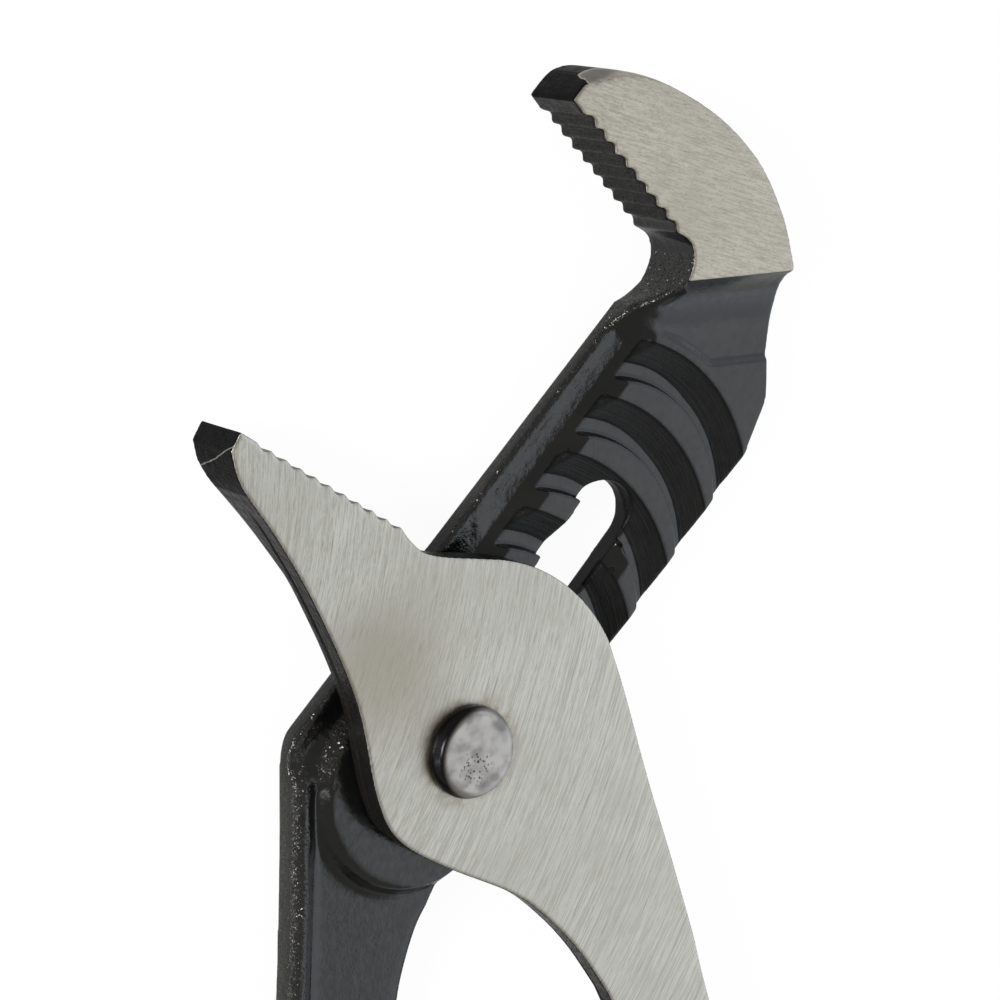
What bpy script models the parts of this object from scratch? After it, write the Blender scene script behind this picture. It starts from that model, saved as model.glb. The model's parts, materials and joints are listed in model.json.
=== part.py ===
"""Water pump pliers with a tongue-and-groove slip joint, wide open at the fifth of six settings.

The tool lies on its back: +Z is the ground front face, +Y points from the pivot to the upper jaw,
and the pivot runs along Z through the origin, which is on the flat end of the bolt's tail.
Sizes below are in millimetres, and heights are above the back of the jaws.
"""

import math

import bmesh
import bpy
from mathutils import Matrix

MM = 0.001

# Thicknesses
JAW_THICKNESS = 10.0
LAND_HEIGHT = 4.6
GROOVE_DEPTH = 1.6
SHELF_HEIGHT = 2.9
TROUGH_HEIGHT = 2.2
WEB_HEIGHT = 2.4
NECK_FOOT_HEIGHT = 4.0
HANDLE_THICKNESS = 9.0

# Clearances
FIT_GAP = 0.3
BITE_GAP = 0.02
SPILL = 1.0
OVERSHOOT = 6.0

# Slot and adjusting grooves
SLOT_ANGLE = math.radians(46.4)
SLOT_WIDTH = 9.3
SETTING_PITCH = 9.61
SETTINGS_TOWARD_JAW = 4
SETTINGS_TOWARD_HANDLE = 1
GROOVE_INNER_RADIUS = 18.75
GROOVE_FLOOR_WIDTH = 2.15
GROOVE_OUTER_RADIUS = 24.5
GROOVE_SWEEP = math.radians(50.0)
SLOT_BEVEL_WIDTH = 3.2
SLOT_BEVEL_DEPTH = 1.3
SLOT_BEVEL_START = 0.5
SLOT_BEVEL_STOP = 1.5

# Pad that carries the ribs, and the release channel beside it
PAD_LEFT = 11.4
PAD_FLANK_TOP = 10.1
PAD_FLANK_FOOT = 12.75
PAD_RIGHT_DRAFT = 0.85
PAD_RIGHT_DRAFT_HEIGHT = 1.7
PAD_END_ALONG = -7.6
PAD_END_ACROSS = -0.84
PAD_END_RADIUS = 13.5
PAD_END_DRAFT = 0.4
PAD_END_CORNER = math.radians(-62.0)
HEAD_CLEARANCE_RADIUS = 26.0
HEAD_STEP_Y = 47.0
HEAD_STEP_SLACK = 0.6
HEAD_SLOPE_RUN = 10.4
CHANNEL_LOW_END = -16.0
CHANNEL_WALL_X = 34.0
CHANNEL_TOP_Y = 59.2
SHELF_START = 6.0

# Upper jaw
TOOTH_PITCH = 2.513
UPPER_TEETH = 9
UPPER_TEETH_START = (18.08, 84.63)
UPPER_TEETH_ANGLE = math.radians(-46.8)
UPPER_TOOTH_DEPTH = 0.92
UPPER_TOOTH_LEAD = 1.13
GROUND_EDGE_Y = 60.0
HEAD_RIGHT_X = 54.4

# Lower jaw
LOWER_TEETH = 10
LOWER_TEETH_START = (-31.75, 45.2)
LOWER_TEETH_ANGLE = math.radians(-32.35)
LOWER_TOOTH_DEPTH = 0.6
LOWER_TOOTH_LEAD = 1.7
JAW_BLOCK_DEPTH = 4.5
JAW_BLOCK_SLOPE = 8.0
PLATE_RADIUS = 25.9
TONGUE_FAR_ANGLE = math.radians(122.0)

# Handles
GRIP_WALL = 1.6
GRIP_START = 0.30
GRIP_EDGE_ROUND = 2.4
HANDLE_RISE_Y = -50.0
HANDLE_RISE_LENGTH = 13.0
RIM_WIDTH = 3.0
BACK_EDGE_WIDTH = 1.4
BACK_EDGE_HEIGHT = 1.4
FRONT_EDGE_END_Y = -46.0
HANDLE_START_Y = -36.0
REAR_REACH = 157.0
FRONT_REACH = 152.0
FRONT_SPREAD = 77.0

# Pivot
SHANK_DIAMETER = 8.7
HEAD_DIAMETER = 12.74
HEAD_HEIGHT = 2.5
HEAD_EDGE_ROUND = 0.55
TAIL_DIAMETER = 7.4
TAIL_PROUD = 0.5
NUT_ACROSS_FLATS = 13.0
NUT_HEIGHT = 4.5
NUT_CHAMFER = 0.7

# Derived values
BACK_Z = TAIL_PROUD + NUT_HEIGHT + FIT_GAP
GROOVE_FLOOR = LAND_HEIGHT - GROOVE_DEPTH
PLATE_BACK = LAND_HEIGHT + FIT_GAP
SLOT_TOP = SETTINGS_TOWARD_JAW * SETTING_PITCH
SLOT_END = -SETTINGS_TOWARD_HANDLE * SETTING_PITCH
PAD_RIGHT = PAD_END_RADIUS - PAD_END_ACROSS
FRONT_HANDLE_BACK = JAW_THICKNESS - HANDLE_THICKNESS
TALL = JAW_THICKNESS + OVERSHOOT
NEAR = 60.0
FAR = 400.0

# Outlines that follow no simpler rule: the points that a smooth edge passes through
THROAT = [(36.1, 65.2), (36.75, 62.9), (36.2, 60.9), (35.0, 58.95), (32.5, 57.25)]
JAW_TIP = [(20.5, 88.6), (18.5, 87.4), (16.4, 85.3)]
JAW_BACK = [(54.2, 61.5), (52.2, 68.0), (47.8, 75.5), (40.6, 82.0), (31.0, 87.0), (24.0, 88.8)]
HEAD_RIGHT_EDGE = [(50.2, 31.95), (51.2, 34.6), (52.8, 37.9), (54.3, 41.4)]
NECK_LEFT_EDGE = [(30.7, 56.5), (-20.6, 5.7)]
HANDLE_SHOULDER = [(-22.5, 3.6), (-23.3, 0.8), (-23.5, -4.0), (-23.8, -18.0)]
REAR_INNER_EDGE = [(-5.7, -33.5), (-4.1, -28.5), (-2.2, -24.2), (-0.2, -20.6)]
LOWER_TIP = [(-35.5, 44.4), (-34.1, 46.7)]
LOWER_THROAT = [(-9.0, 29.7), (-6.9, 27.9), (-3.8, 26.9), (0.2, 26.2)]
FRONT_RIGHT_EDGE = [(25.0, 6.6), (26.7, 1.6), (30.1, -9.1), (34.5, -21.6)]
FRONT_LOWER_EDGE = [(18.6, -32.0), (13.5, -26.4), (7.4, -21.4), (-3.5, -15.6), (-10.9, -10.6),
                    (-14.3, -4.3), (-17.3, 9.0), (-22.9, 21.8), (-28.7, 31.9), (-34.0, 39.6)]
# Handle stations from the joint to the end: centre, share of the handle's run, half width
REAR_STATIONS = [(-15.5, 0.0, 9.15), (-19.5, 0.198, 7.5), (-23.0, 0.446, 7.2), (-24.5, 0.736, 7.2),
                 (-23.0, 1.0, 7.0)]
REAR_HANDLE = [(x, HANDLE_START_Y - share * (REAR_REACH + HANDLE_START_Y), half)
               for x, share, half in REAR_STATIONS]
FRONT_STATIONS = [(0.403, 0.003, 8.0), (0.455, 0.095, 7.2), (0.552, 0.259, 7.0), (0.708, 0.509, 7.0),
                  (0.857, 0.776, 7.0), (1.0, 1.0, 6.8)]
FRONT_HANDLE = [(spread * FRONT_SPREAD, HANDLE_START_Y - share * (FRONT_REACH + HANDLE_START_Y), half)
                for spread, share, half in FRONT_STATIONS]


def clear_scene():
    """Remove every object that is already in the scene."""
    for thing in list(bpy.data.objects):
        bpy.data.objects.remove(thing, do_unlink=True)


def collection(name):
    """Make a collection in the scene."""
    group = bpy.data.collections.new(name)
    bpy.context.scene.collection.children.link(group)
    return group


def material(name, colour, roughness, metallic):
    """Make a Principled material."""
    made = bpy.data.materials.new(name)
    made.use_nodes = True
    shader = made.node_tree.nodes["Principled BSDF"]
    shader.inputs["Base Color"].default_value = (*colour, 1.0)
    shader.inputs["Roughness"].default_value = roughness
    shader.inputs["Metallic"].default_value = metallic
    return made


def at_slot(along, across):
    """Point at a distance along the slot from the pivot and to the left of its centre line."""
    c, s = math.cos(SLOT_ANGLE), math.sin(SLOT_ANGLE)
    return (along * c - across * s, along * s + across * c)


PAD_END = at_slot(PAD_END_ALONG, PAD_END_ACROSS)


def arc(centre, radius, start, end, steps):
    """Points on a round stretch, both ends included."""
    turns = [start + (end - start) * i / steps for i in range(steps + 1)]
    return [(centre[0] + radius * math.cos(t), centre[1] + radius * math.sin(t)) for t in turns]


def smooth(knots, steps=6):
    """Points on a curve that passes through every knot (Catmull-Rom); extra columns follow along."""
    ends = [knots[0], *knots, knots[-1]]
    points = []
    for before, a, b, after in zip(ends, ends[1:], ends[2:], ends[3:]):
        for i in range(steps):
            t = i / steps
            points.append(tuple(
                0.5 * (2 * q + (r - p) * t + (2 * p - 5 * q + 4 * r - s) * t ** 2
                       + (3 * q - p - 3 * r + s) * t ** 3)
                for p, q, r, s in zip(before, a, b, after)))
    points.append(tuple(knots[-1]))
    return points


def teeth(start, angle, count, lead, depth):
    """Saw-tooth edge: each pitch has a point on the line, then one set off to its right by the depth."""
    along = (math.cos(angle), math.sin(angle))
    points = []
    for i in range(count):
        for shift, aside in ((i * TOOTH_PITCH, 0.0), (i * TOOTH_PITCH + lead, depth)):
            points.append((start[0] + along[0] * shift + along[1] * aside,
                           start[1] + along[1] * shift - along[0] * aside))
    return points


def handle_edges(stations, grow=0.0):
    """Left edge (joint to end), end cap and right edge (end to joint) of a handle, grown by a wall."""
    line = smooth(stations)
    left, right = [], []
    for i, (x, y, half) in enumerate(line):
        ahead, behind = line[min(i + 1, len(line) - 1)], line[max(i - 1, 0)]
        dx, dy = ahead[0] - behind[0], ahead[1] - behind[1]
        length = math.hypot(dx, dy)
        side = ((half + grow) * dy / length, -(half + grow) * dx / length)
        left.append((x + side[0], y + side[1]))
        right.append((x - side[0], y - side[1]))
    x, y, half = line[-1]
    heading = math.atan2(left[-1][1] - y, left[-1][0] - x)
    cap = arc((x, y), half + grow, heading, heading + math.pi, 10)[1:-1]
    return left, cap, right[::-1]


def mesh_from(thing):
    """Turn a curve object, or an object with modifiers, into a closed mesh object of the same name."""
    graph = bpy.context.evaluated_depsgraph_get()
    made = bpy.data.meshes.new_from_object(thing.evaluated_get(graph))
    name, place, home = thing.name, thing.matrix_world.copy(), thing.users_collection[0]
    bpy.data.objects.remove(thing, do_unlink=True)
    shape = bmesh.new()
    shape.from_mesh(made)
    bmesh.ops.remove_doubles(shape, verts=shape.verts, dist=0.000002)
    bmesh.ops.recalc_face_normals(shape, faces=shape.faces)
    shape.to_mesh(made)
    shape.free()
    solid = bpy.data.objects.new(name, made)
    solid.matrix_world = place
    home.objects.link(solid)
    return solid


def prism(group, name, points, low, high, place=None):
    """Solid between two heights above the back of the jaws, from a closed outline."""
    curve = bpy.data.curves.new(name, "CURVE")
    curve.dimensions = "2D"
    curve.fill_mode = "BOTH"
    curve.extrude = (high - low) / 2 * MM
    spline = curve.splines.new("POLY")
    spline.points.add(len(points) - 1)
    for knot, (x, y) in zip(spline.points, points):
        knot.co = (x * MM, y * MM, 0.0, 1.0)
    spline.use_cyclic_u = True
    thing = bpy.data.objects.new(name, curve)
    group.objects.link(thing)
    middle = Matrix.Translation((0.0, 0.0, (low + high) / 2 * MM))
    lift = Matrix.Translation((0.0, 0.0, BACK_Z * MM))
    thing.matrix_world = lift @ (place or Matrix.Identity(4)) @ middle
    bpy.context.view_layer.update()
    return mesh_from(thing)


def bar(group, name, section, start, angle, length):
    """Solid whose section (distance to the left, height) runs along a level direction from a point."""
    c, s = math.cos(angle), math.sin(angle)
    axes = Matrix(((-s, 0.0, c, start[0] * MM), (c, 0.0, s, start[1] * MM),
                   (0.0, 1.0, 0.0, 0.0), (0.0, 0.0, 0.0, 1.0)))
    return prism(group, name, section, 0.0, length, axes)


def ring_sector(group, name, profile, centre, start, end, steps=40):
    """Part of a ring: a closed (radius, height) profile turned about an upright axis."""
    shape = bmesh.new()
    c, s = math.cos(start), math.sin(start)
    corners = [shape.verts.new(((centre[0] + r * c) * MM, (centre[1] + r * s) * MM, (BACK_Z + h) * MM))
               for r, h in profile]
    rim = [shape.edges.new((a, b)) for a, b in zip(corners, corners[1:] + corners[:1])]
    bmesh.ops.spin(shape, geom=corners + rim, cent=(centre[0] * MM, centre[1] * MM, 0.0),
                   axis=(0.0, 0.0, 1.0), angle=end - start, steps=steps, use_merge=False)
    bmesh.ops.holes_fill(shape, edges=shape.edges, sides=0)
    bmesh.ops.recalc_face_normals(shape, faces=shape.faces)
    made = bpy.data.meshes.new(name)
    shape.to_mesh(made)
    shape.free()
    thing = bpy.data.objects.new(name, made)
    group.objects.link(thing)
    return thing


def turned(group, name, profile, steps=48):
    """Solid of revolution about the pivot: (radius, height) points listed from the top down."""
    made = bpy.data.meshes.new(name)
    made.from_pydata([(r * MM, 0.0, h * MM) for r, h in profile],
                     [(i, i + 1) for i in range(len(profile) - 1)], [])
    thing = bpy.data.objects.new(name, made)
    thing.location = (0.0, 0.0, BACK_Z * MM)
    group.objects.link(thing)
    screw = thing.modifiers.new("turn", "SCREW")
    screw.steps = screw.render_steps = steps
    screw.use_merge_vertices = True
    screw.merge_threshold = 0.000001
    return thing


def boolean(target, tool, operation="DIFFERENCE"):
    """Cut a solid with another, which is then shown as a guide only."""
    step = target.modifiers.new(tool.name, "BOOLEAN")
    step.operation = operation
    step.object = tool
    step.solver = "EXACT"
    tool.hide_render = True
    tool.display_type = "WIRE"


def rear_outline():
    """Outline of the half with the upper jaw, the slotted neck and the left-hand handle."""
    left, cap, right = handle_edges(REAR_HANDLE)
    bite = teeth(UPPER_TEETH_START, UPPER_TEETH_ANGLE, UPPER_TEETH + 1, UPPER_TOOTH_LEAD,
                 UPPER_TOOTH_DEPTH)[1:]
    handle_left = smooth([NECK_LEFT_EDGE[1], *HANDLE_SHOULDER, left[0]])
    inner = smooth([right[-1], *REAR_INNER_EDGE])
    boss = arc(PAD_END, PAD_END_RADIUS, PAD_END_CORNER, SLOT_ANGLE - math.pi / 2, 4)
    head = smooth([*HEAD_RIGHT_EDGE, (HEAD_RIGHT_X, HEAD_STEP_Y)])
    back = smooth([(HEAD_RIGHT_X, GROUND_EDGE_Y), *JAW_BACK, *JAW_TIP])
    return (bite + smooth([bite[-1], *THROAT, NECK_LEFT_EDGE[0]])[1:] + handle_left[:-1] + left + cap
            + right[:-1] + inner + boss + head + back)


def groove_profile(gap=0.0, top=TALL):
    """Section of an adjusting groove, or of the tongue that fits it: flat floor, slanted wall."""
    floor = GROOVE_FLOOR + gap
    corner = GROOVE_INNER_RADIUS + GROOVE_FLOOR_WIDTH
    outer = GROOVE_OUTER_RADIUS - gap
    return [(GROOVE_INNER_RADIUS + gap, top), (GROOVE_INNER_RADIUS + gap, floor), (corner, floor),
            (outer, LAND_HEIGHT), (outer, top)]


def pad_space(group, name, grow):
    """Space over the pad of the ribs: round at the top where the front plate turns, square at the head."""
    top_setting = at_slot(SLOT_TOP, 0.0)
    radius = HEAD_CLEARANCE_RADIUS + grow
    step = HEAD_STEP_Y + grow
    line = arc(top_setting, radius, math.asin((step - top_setting[1]) / radius), math.pi * 0.75, 32)
    return prism(group, name, [(FAR, step), *line, (-FAR, line[-1][1]), (-FAR, -FAR), (FAR, -FAR)],
                 -OVERSHOOT, TALL + OVERSHOOT)


def cut_head(body, cutters):
    """Hollow slope from the ground face down to the foot of the head, clear of the pad."""
    drop = JAW_THICKNESS - NECK_FOOT_HEIGHT
    radius = (HEAD_SLOPE_RUN ** 2 + drop ** 2) / (2 * drop)
    foot = GROUND_EDGE_Y - HEAD_SLOPE_RUN
    climb = math.asin(HEAD_SLOPE_RUN / radius)
    curve = arc((foot, NECK_FOOT_HEIGHT + radius), radius, climb - math.pi / 2, -math.pi / 2, 16)
    slope = [(GROUND_EDGE_Y + BITE_GAP, TALL), *curve, (-FAR, NECK_FOOT_HEIGHT), (-FAR, TALL)]
    neck_drop = bar(cutters, "neck_drop", slope, (-FAR, 0.0), 0.0, 2 * FAR)
    boolean(neck_drop, pad_space(cutters, "pad_space", 0.0))
    boolean(body, neck_drop)


def cut_lands(body, cutters):
    """Level of the lands, and the rise to the full thickness of the handle."""
    rise_end = HANDLE_RISE_Y - HANDLE_RISE_LENGTH
    lands = [(FAR, TALL), (FAR, LAND_HEIGHT), (HANDLE_RISE_Y, LAND_HEIGHT),
             (rise_end, HANDLE_THICKNESS), (-FAR, HANDLE_THICKNESS), (-FAR, TALL)]
    above_lands = bar(cutters, "above_lands", lands, (-FAR, 0.0), 0.0, 2 * FAR)
    boolean(above_lands, pad_space(cutters, "pad_reach", HEAD_STEP_SLACK), "INTERSECT")
    boolean(body, above_lands)


def cut_channel(body, cutters):
    """Release channel along the left of the ribs, where the tongue slides free."""
    shelf = [(PAD_FLANK_TOP, TALL), (PAD_FLANK_TOP, LAND_HEIGHT), (PAD_FLANK_FOOT, TROUGH_HEIGHT),
             (PAD_LEFT + SHELF_START, SHELF_HEIGHT), (NEAR, SHELF_HEIGHT), (NEAR, TALL)]
    channel = bar(cutters, "release_channel", shelf, at_slot(CHANNEL_LOW_END, 0.0), SLOT_ANGLE, 2 * NEAR)
    reach = [(CHANNEL_WALL_X, -NEAR), (CHANNEL_WALL_X, CHANNEL_TOP_Y), (-2 * NEAR, CHANNEL_TOP_Y),
             (-2 * NEAR, -NEAR)]
    boolean(channel, prism(cutters, "channel_reach", reach, -OVERSHOOT, TALL + OVERSHOOT), "INTERSECT")
    boolean(body, channel)


def cut_slot(body, cutters):
    """Slot, its bevelled right side and one curved groove for each setting."""
    half = SLOT_WIDTH / 2
    quarter = math.pi / 2
    slot_line = (arc(at_slot(SLOT_TOP, 0.0), half, SLOT_ANGLE - quarter, SLOT_ANGLE + quarter, 16)
                 + arc(at_slot(SLOT_END, 0.0), half, SLOT_ANGLE + quarter, SLOT_ANGLE + 3 * quarter, 16))
    boolean(body, prism(cutters, "slot", slot_line, -OVERSHOOT, TALL))
    slant = SLOT_BEVEL_DEPTH / SLOT_BEVEL_WIDTH
    spill = slant * SPILL
    bevel = [(-half + SPILL, LAND_HEIGHT - SLOT_BEVEL_DEPTH - spill),
             (-half - SLOT_BEVEL_WIDTH - SPILL, LAND_HEIGHT + spill), (-half + SPILL, LAND_HEIGHT + spill)]
    boolean(body, bar(cutters, "slot_bevel", bevel, at_slot(SLOT_END + SLOT_BEVEL_START, 0.0), SLOT_ANGLE,
                      SLOT_TOP - SLOT_END - SLOT_BEVEL_START - SLOT_BEVEL_STOP))
    for setting in range(-SETTINGS_TOWARD_HANDLE, SETTINGS_TOWARD_JAW + 1):
        centre = at_slot(setting * SETTING_PITCH, 0.0)
        name = f"groove_{setting + SETTINGS_TOWARD_HANDLE + 1}"
        boolean(body, ring_sector(cutters, name, groove_profile(), centre, SLOT_ANGLE - GROOVE_SWEEP,
                                  SLOT_ANGLE + GROOVE_SWEEP))


def cut_right_draft(body, cutters):
    """Slanted upper part of the pad's right-hand wall."""
    foot = LAND_HEIGHT - PAD_RIGHT_DRAFT_HEIGHT
    spill = SPILL * PAD_RIGHT_DRAFT / PAD_RIGHT_DRAFT_HEIGHT
    draft = [(-PAD_RIGHT - spill, foot - SPILL), (PAD_RIGHT_DRAFT - PAD_RIGHT + spill, LAND_HEIGHT + SPILL),
             (-NEAR, LAND_HEIGHT + SPILL), (-NEAR, foot - SPILL)]
    boolean(body, bar(cutters, "right_draft", draft, at_slot(SLOT_END, 0.0), SLOT_ANGLE, 2 * NEAR))


def cut_web(body, cutters):
    """Sunk web of the rear handle, between the round end of the pad and the outer rim."""
    rim = [(x, y) for x, y in handle_edges(REAR_HANDLE, -RIM_WIDTH)[0] if y > HANDLE_RISE_Y + RIM_WIDTH]
    rim_line = smooth([(x + RIM_WIDTH, y) for x, y in HANDLE_SHOULDER[2:]] + rim)
    right = at_slot(PAD_END_ALONG, -0.8 * NEAR)
    web = prism(cutters, "handle_web", [PAD_END, *rim_line, (right[0], rim[-1][1]), right], WEB_HEIGHT, TALL)
    foot, top = PAD_END_RADIUS + PAD_END_DRAFT * LAND_HEIGHT, TALL + SPILL
    round_end = turned(cutters, "pad_end", [(0.0, top), (foot - PAD_END_DRAFT * top, top), (foot, 0.0),
                                            (0.0, 0.0)], 96)
    round_end.location = (PAD_END[0] * MM, PAD_END[1] * MM, BACK_Z * MM)
    boolean(web, round_end)
    boolean(body, web)


def cut_back_edge(body, cutters, name, path, low):
    """Slant the back edge along a stretch of outline that is walked with the body on the left."""
    shape = bmesh.new()
    rings = []
    for i, (x, y) in enumerate(path):
        ahead, behind = path[min(i + 1, len(path) - 1)], path[max(i - 1, 0)]
        dx, dy = ahead[0] - behind[0], ahead[1] - behind[1]
        length = math.hypot(dx, dy)
        inward = (-dy / length, dx / length)
        corners = ((BACK_EDGE_WIDTH, -BITE_GAP), (-BACK_EDGE_WIDTH, -BITE_GAP),
                   (-BACK_EDGE_WIDTH, 2 * BACK_EDGE_HEIGHT))
        rings.append([shape.verts.new(((x + inward[0] * side) * MM, (y + inward[1] * side) * MM,
                                       (BACK_Z + low + up) * MM)) for side, up in corners])
    for near, far in zip(rings, rings[1:]):
        for i in range(3):
            j = (i + 1) % 3
            shape.faces.new((near[i], near[j], far[j], far[i]))
    shape.faces.new(rings[0])
    shape.faces.new(rings[-1])
    bmesh.ops.recalc_face_normals(shape, faces=shape.faces)
    made = bpy.data.meshes.new(name)
    shape.to_mesh(made)
    shape.free()
    wedge = bpy.data.objects.new(name, made)
    cutters.objects.link(wedge)
    boolean(body, wedge)


def make_rear_half(parts, cutters, finish):
    """Upper jaw, neck with slot and curved ribs, release channel and handle with an outer rim."""
    body = prism(parts, "rear_half", rear_outline(), 0.0, JAW_THICKNESS)
    for cut in (cut_head, cut_lands, cut_channel, cut_right_draft, cut_slot, cut_web):
        cut(body, cutters)
    body.data.materials.append(finish)
    return body


def front_outline():
    """Outline of the half with the lower jaw, the round joint plate and the right-hand handle."""
    left, cap, right = handle_edges(FRONT_HANDLE)
    bite = teeth(LOWER_TEETH_START, LOWER_TEETH_ANGLE, LOWER_TEETH + 1, LOWER_TOOTH_LEAD,
                 LOWER_TOOTH_DEPTH)[:-1]
    plate = arc((0.0, 0.0), PLATE_RADIUS, math.radians(79.0), math.radians(27.0), 24)
    throat = smooth([bite[-1], *LOWER_THROAT, plate[0]])
    right_side = smooth([plate[-1], *FRONT_RIGHT_EDGE, right[-1]])
    lower = smooth([left[0], *FRONT_LOWER_EDGE, LOWER_TIP[0]])
    return (bite + throat[1:-1] + plate + right_side[1:-1] + right[::-1] + cap[::-1] + left[::-1]
            + lower[1:-1] + LOWER_TIP)


def along_teeth(shift):
    """Point on the line of the lower jaw's crests, at a distance from the first one."""
    return (LOWER_TEETH_START[0] + math.cos(LOWER_TEETH_ANGLE) * shift,
            LOWER_TEETH_START[1] + math.sin(LOWER_TEETH_ANGLE) * shift)


def make_front_half(parts, cutters, finish):
    """Lower jaw, joint plate with the tongue on its back, and the right-hand handle."""
    body = prism(parts, "front_half", front_outline(), 0.0, JAW_THICKNESS)
    wide = [(-FAR, -FAR), (FAR, -FAR), (FAR, FAR), (-FAR, FAR)]
    relief = prism(cutters, "plate_relief", wide, -SPILL, PLATE_BACK)

    # Full thickness stays behind the teeth, falling away to the plate
    low, high = -2 * SPILL, PLATE_BACK + SPILL
    slope = JAW_BLOCK_SLOPE / PLATE_BACK
    block = [(OVERSHOOT, low), (-JAW_BLOCK_DEPTH - slope * low, low),
             (-JAW_BLOCK_DEPTH - slope * high, high), (OVERSHOOT, high)]
    reach = LOWER_TEETH * TOOTH_PITCH
    boolean(relief, bar(cutters, "jaw_block", block, along_teeth(-2 * OVERSHOOT), LOWER_TEETH_ANGLE,
                        reach + 2 * OVERSHOOT))

    # Tongue that drops into a groove, released to the left of the ribs in the open position
    near = SLOT_ANGLE + math.asin((PAD_LEFT + FIT_GAP) / (GROOVE_INNER_RADIUS + FIT_GAP))
    tongue = ring_sector(cutters, "tongue", groove_profile(FIT_GAP, PLATE_BACK + SPILL), (0.0, 0.0), near,
                         TONGUE_FAR_ANGLE)
    boolean(relief, tongue)

    # Handle at its own thickness beyond the joint
    rise_end = HANDLE_RISE_Y - HANDLE_RISE_LENGTH
    rate = (PLATE_BACK - FRONT_HANDLE_BACK) / HANDLE_RISE_LENGTH
    keep = [(-FAR, high), (-FAR, FRONT_HANDLE_BACK), (rise_end, FRONT_HANDLE_BACK),
            (rise_end + (high - FRONT_HANDLE_BACK) / rate, high)]
    boolean(relief, bar(cutters, "front_handle_back", keep, (-FAR, 0.0), 0.0, 2 * FAR))
    boolean(body, relief)
    bore = arc((0.0, 0.0), SHANK_DIAMETER / 2 + FIT_GAP, 0.0, 2 * math.pi, 48)[:-1]
    boolean(body, prism(cutters, "pivot_bore", bore, -OVERSHOOT, TALL))
    left = handle_edges(FRONT_HANDLE)[0]
    lower = smooth([left[0], *FRONT_LOWER_EDGE[:5]])
    edge = lower[::-1] + [point for point in left[1:] if point[1] > FRONT_EDGE_END_Y]
    cut_back_edge(body, cutters, "front_back_edge", edge, PLATE_BACK)
    body.data.materials.append(finish)
    return body


def make_grip(parts, cutters, name, stations, low, high, finish):
    """Dipped sleeve over the outer part of a handle, with rounded edges and a closed end."""
    def outline(grow):
        left, cap, right = handle_edges(stations, grow)
        skip = round(len(left) * GRIP_START)
        return left[skip:] + cap + right[:len(right) - skip]

    grow = FIT_GAP + GRIP_WALL
    sleeve = prism(parts, name, outline(grow), low - grow, high + grow)
    rounding = sleeve.modifiers.new("edge_round", "BEVEL")
    rounding.width = GRIP_EDGE_ROUND * MM
    rounding.segments = 3
    rounding.limit_method = "ANGLE"
    rounding.angle_limit = math.radians(50.0)
    left, cap, right = handle_edges(stations, FIT_GAP)
    cavity = prism(cutters, name + "_cavity", left + cap + right, low - FIT_GAP, high + FIT_GAP)
    boolean(sleeve, cavity)
    sleeve.data.materials.append(finish)
    return sleeve


def make_bolt(parts, finish):
    """Pivot bolt: low round head in front, shank through the slot and a thinner tail for the nut."""
    head_low = JAW_THICKNESS + FIT_GAP
    head_top = head_low + HEAD_HEIGHT
    radius = HEAD_DIAMETER / 2
    edge = arc((radius - HEAD_EDGE_ROUND, head_top - HEAD_EDGE_ROUND), HEAD_EDGE_ROUND, math.pi / 2, 0.0, 4)
    shank = SHANK_DIAMETER / 2
    tail = TAIL_DIAMETER / 2
    bolt = turned(parts, "pivot_bolt", [(0.0, head_top), *edge, (radius, head_low), (shank, head_low),
                                        (shank, 0.0), (tail, 0.0), (tail, -BACK_Z), (0.0, -BACK_Z)])
    bolt.data.materials.append(finish)
    return bolt


def make_nut(parts, cutters, finish):
    """Six-sided nut on the bolt's tail, with the corners turned off on the outer side."""
    low, high = -FIT_GAP - NUT_HEIGHT, -FIT_GAP
    corner = NUT_ACROSS_FLATS / math.sqrt(3.0)
    face = NUT_ACROSS_FLATS / 2 - NUT_CHAMFER / 2
    wide = face + (corner - face) * 1.5
    nut = prism(parts, "pivot_nut", arc((0.0, 0.0), corner, 0.0, 2 * math.pi, 6)[:-1], low, high)
    boolean(nut, turned(cutters, "nut_rounding", [(0.0, high + SPILL), (wide, high + SPILL),
                                                  (wide, low + 1.5 * NUT_CHAMFER), (face, low - BITE_GAP),
                                                  (0.0, low - BITE_GAP)]), "INTERSECT")
    bore = arc((0.0, 0.0), TAIL_DIAMETER / 2 + FIT_GAP, 0.0, 2 * math.pi, 40)[:-1]
    boolean(nut, prism(cutters, "nut_bore", bore, low - SPILL, high + SPILL))
    nut.data.materials.append(finish)
    return nut


def carry(group, name, pieces):
    """Hang the pieces that move together on an empty that stands on the pivot axis."""
    holder = bpy.data.objects.new(name, None)
    holder.empty_display_size = 10.0 * MM
    group.objects.link(holder)
    for piece in pieces:
        piece.parent = holder
    return holder


def main():
    """Build every piece."""
    clear_scene()
    parts = collection("water_pump_pliers")
    cutters = collection("cutters")
    black = material("black_finish", (0.012, 0.013, 0.014), 0.35, 0.4)
    ground = material("ground_steel", (0.42, 0.42, 0.42), 0.4, 1.0)
    bright = material("pivot_steel", (0.36, 0.35, 0.34), 0.45, 1.0)
    dipped = material("dipped_grip", (0.02, 0.02, 0.022), 0.5, 0.0)
    rear = [make_rear_half(parts, cutters, black),
            make_grip(parts, cutters, "rear_grip", REAR_HANDLE, 0.0, HANDLE_THICKNESS, dipped)]
    front = [make_front_half(parts, cutters, ground),
             make_grip(parts, cutters, "front_grip", FRONT_HANDLE, FRONT_HANDLE_BACK, JAW_THICKNESS, dipped)]
    pivot = [make_bolt(parts, bright), make_nut(parts, cutters, bright)]
    base = carry(cutters, "rear_body", rear)
    slider = carry(cutters, "pivot_body", pivot)
    slider.parent = base
    carry(cutters, "front_body", front).parent = slider


main()
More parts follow.
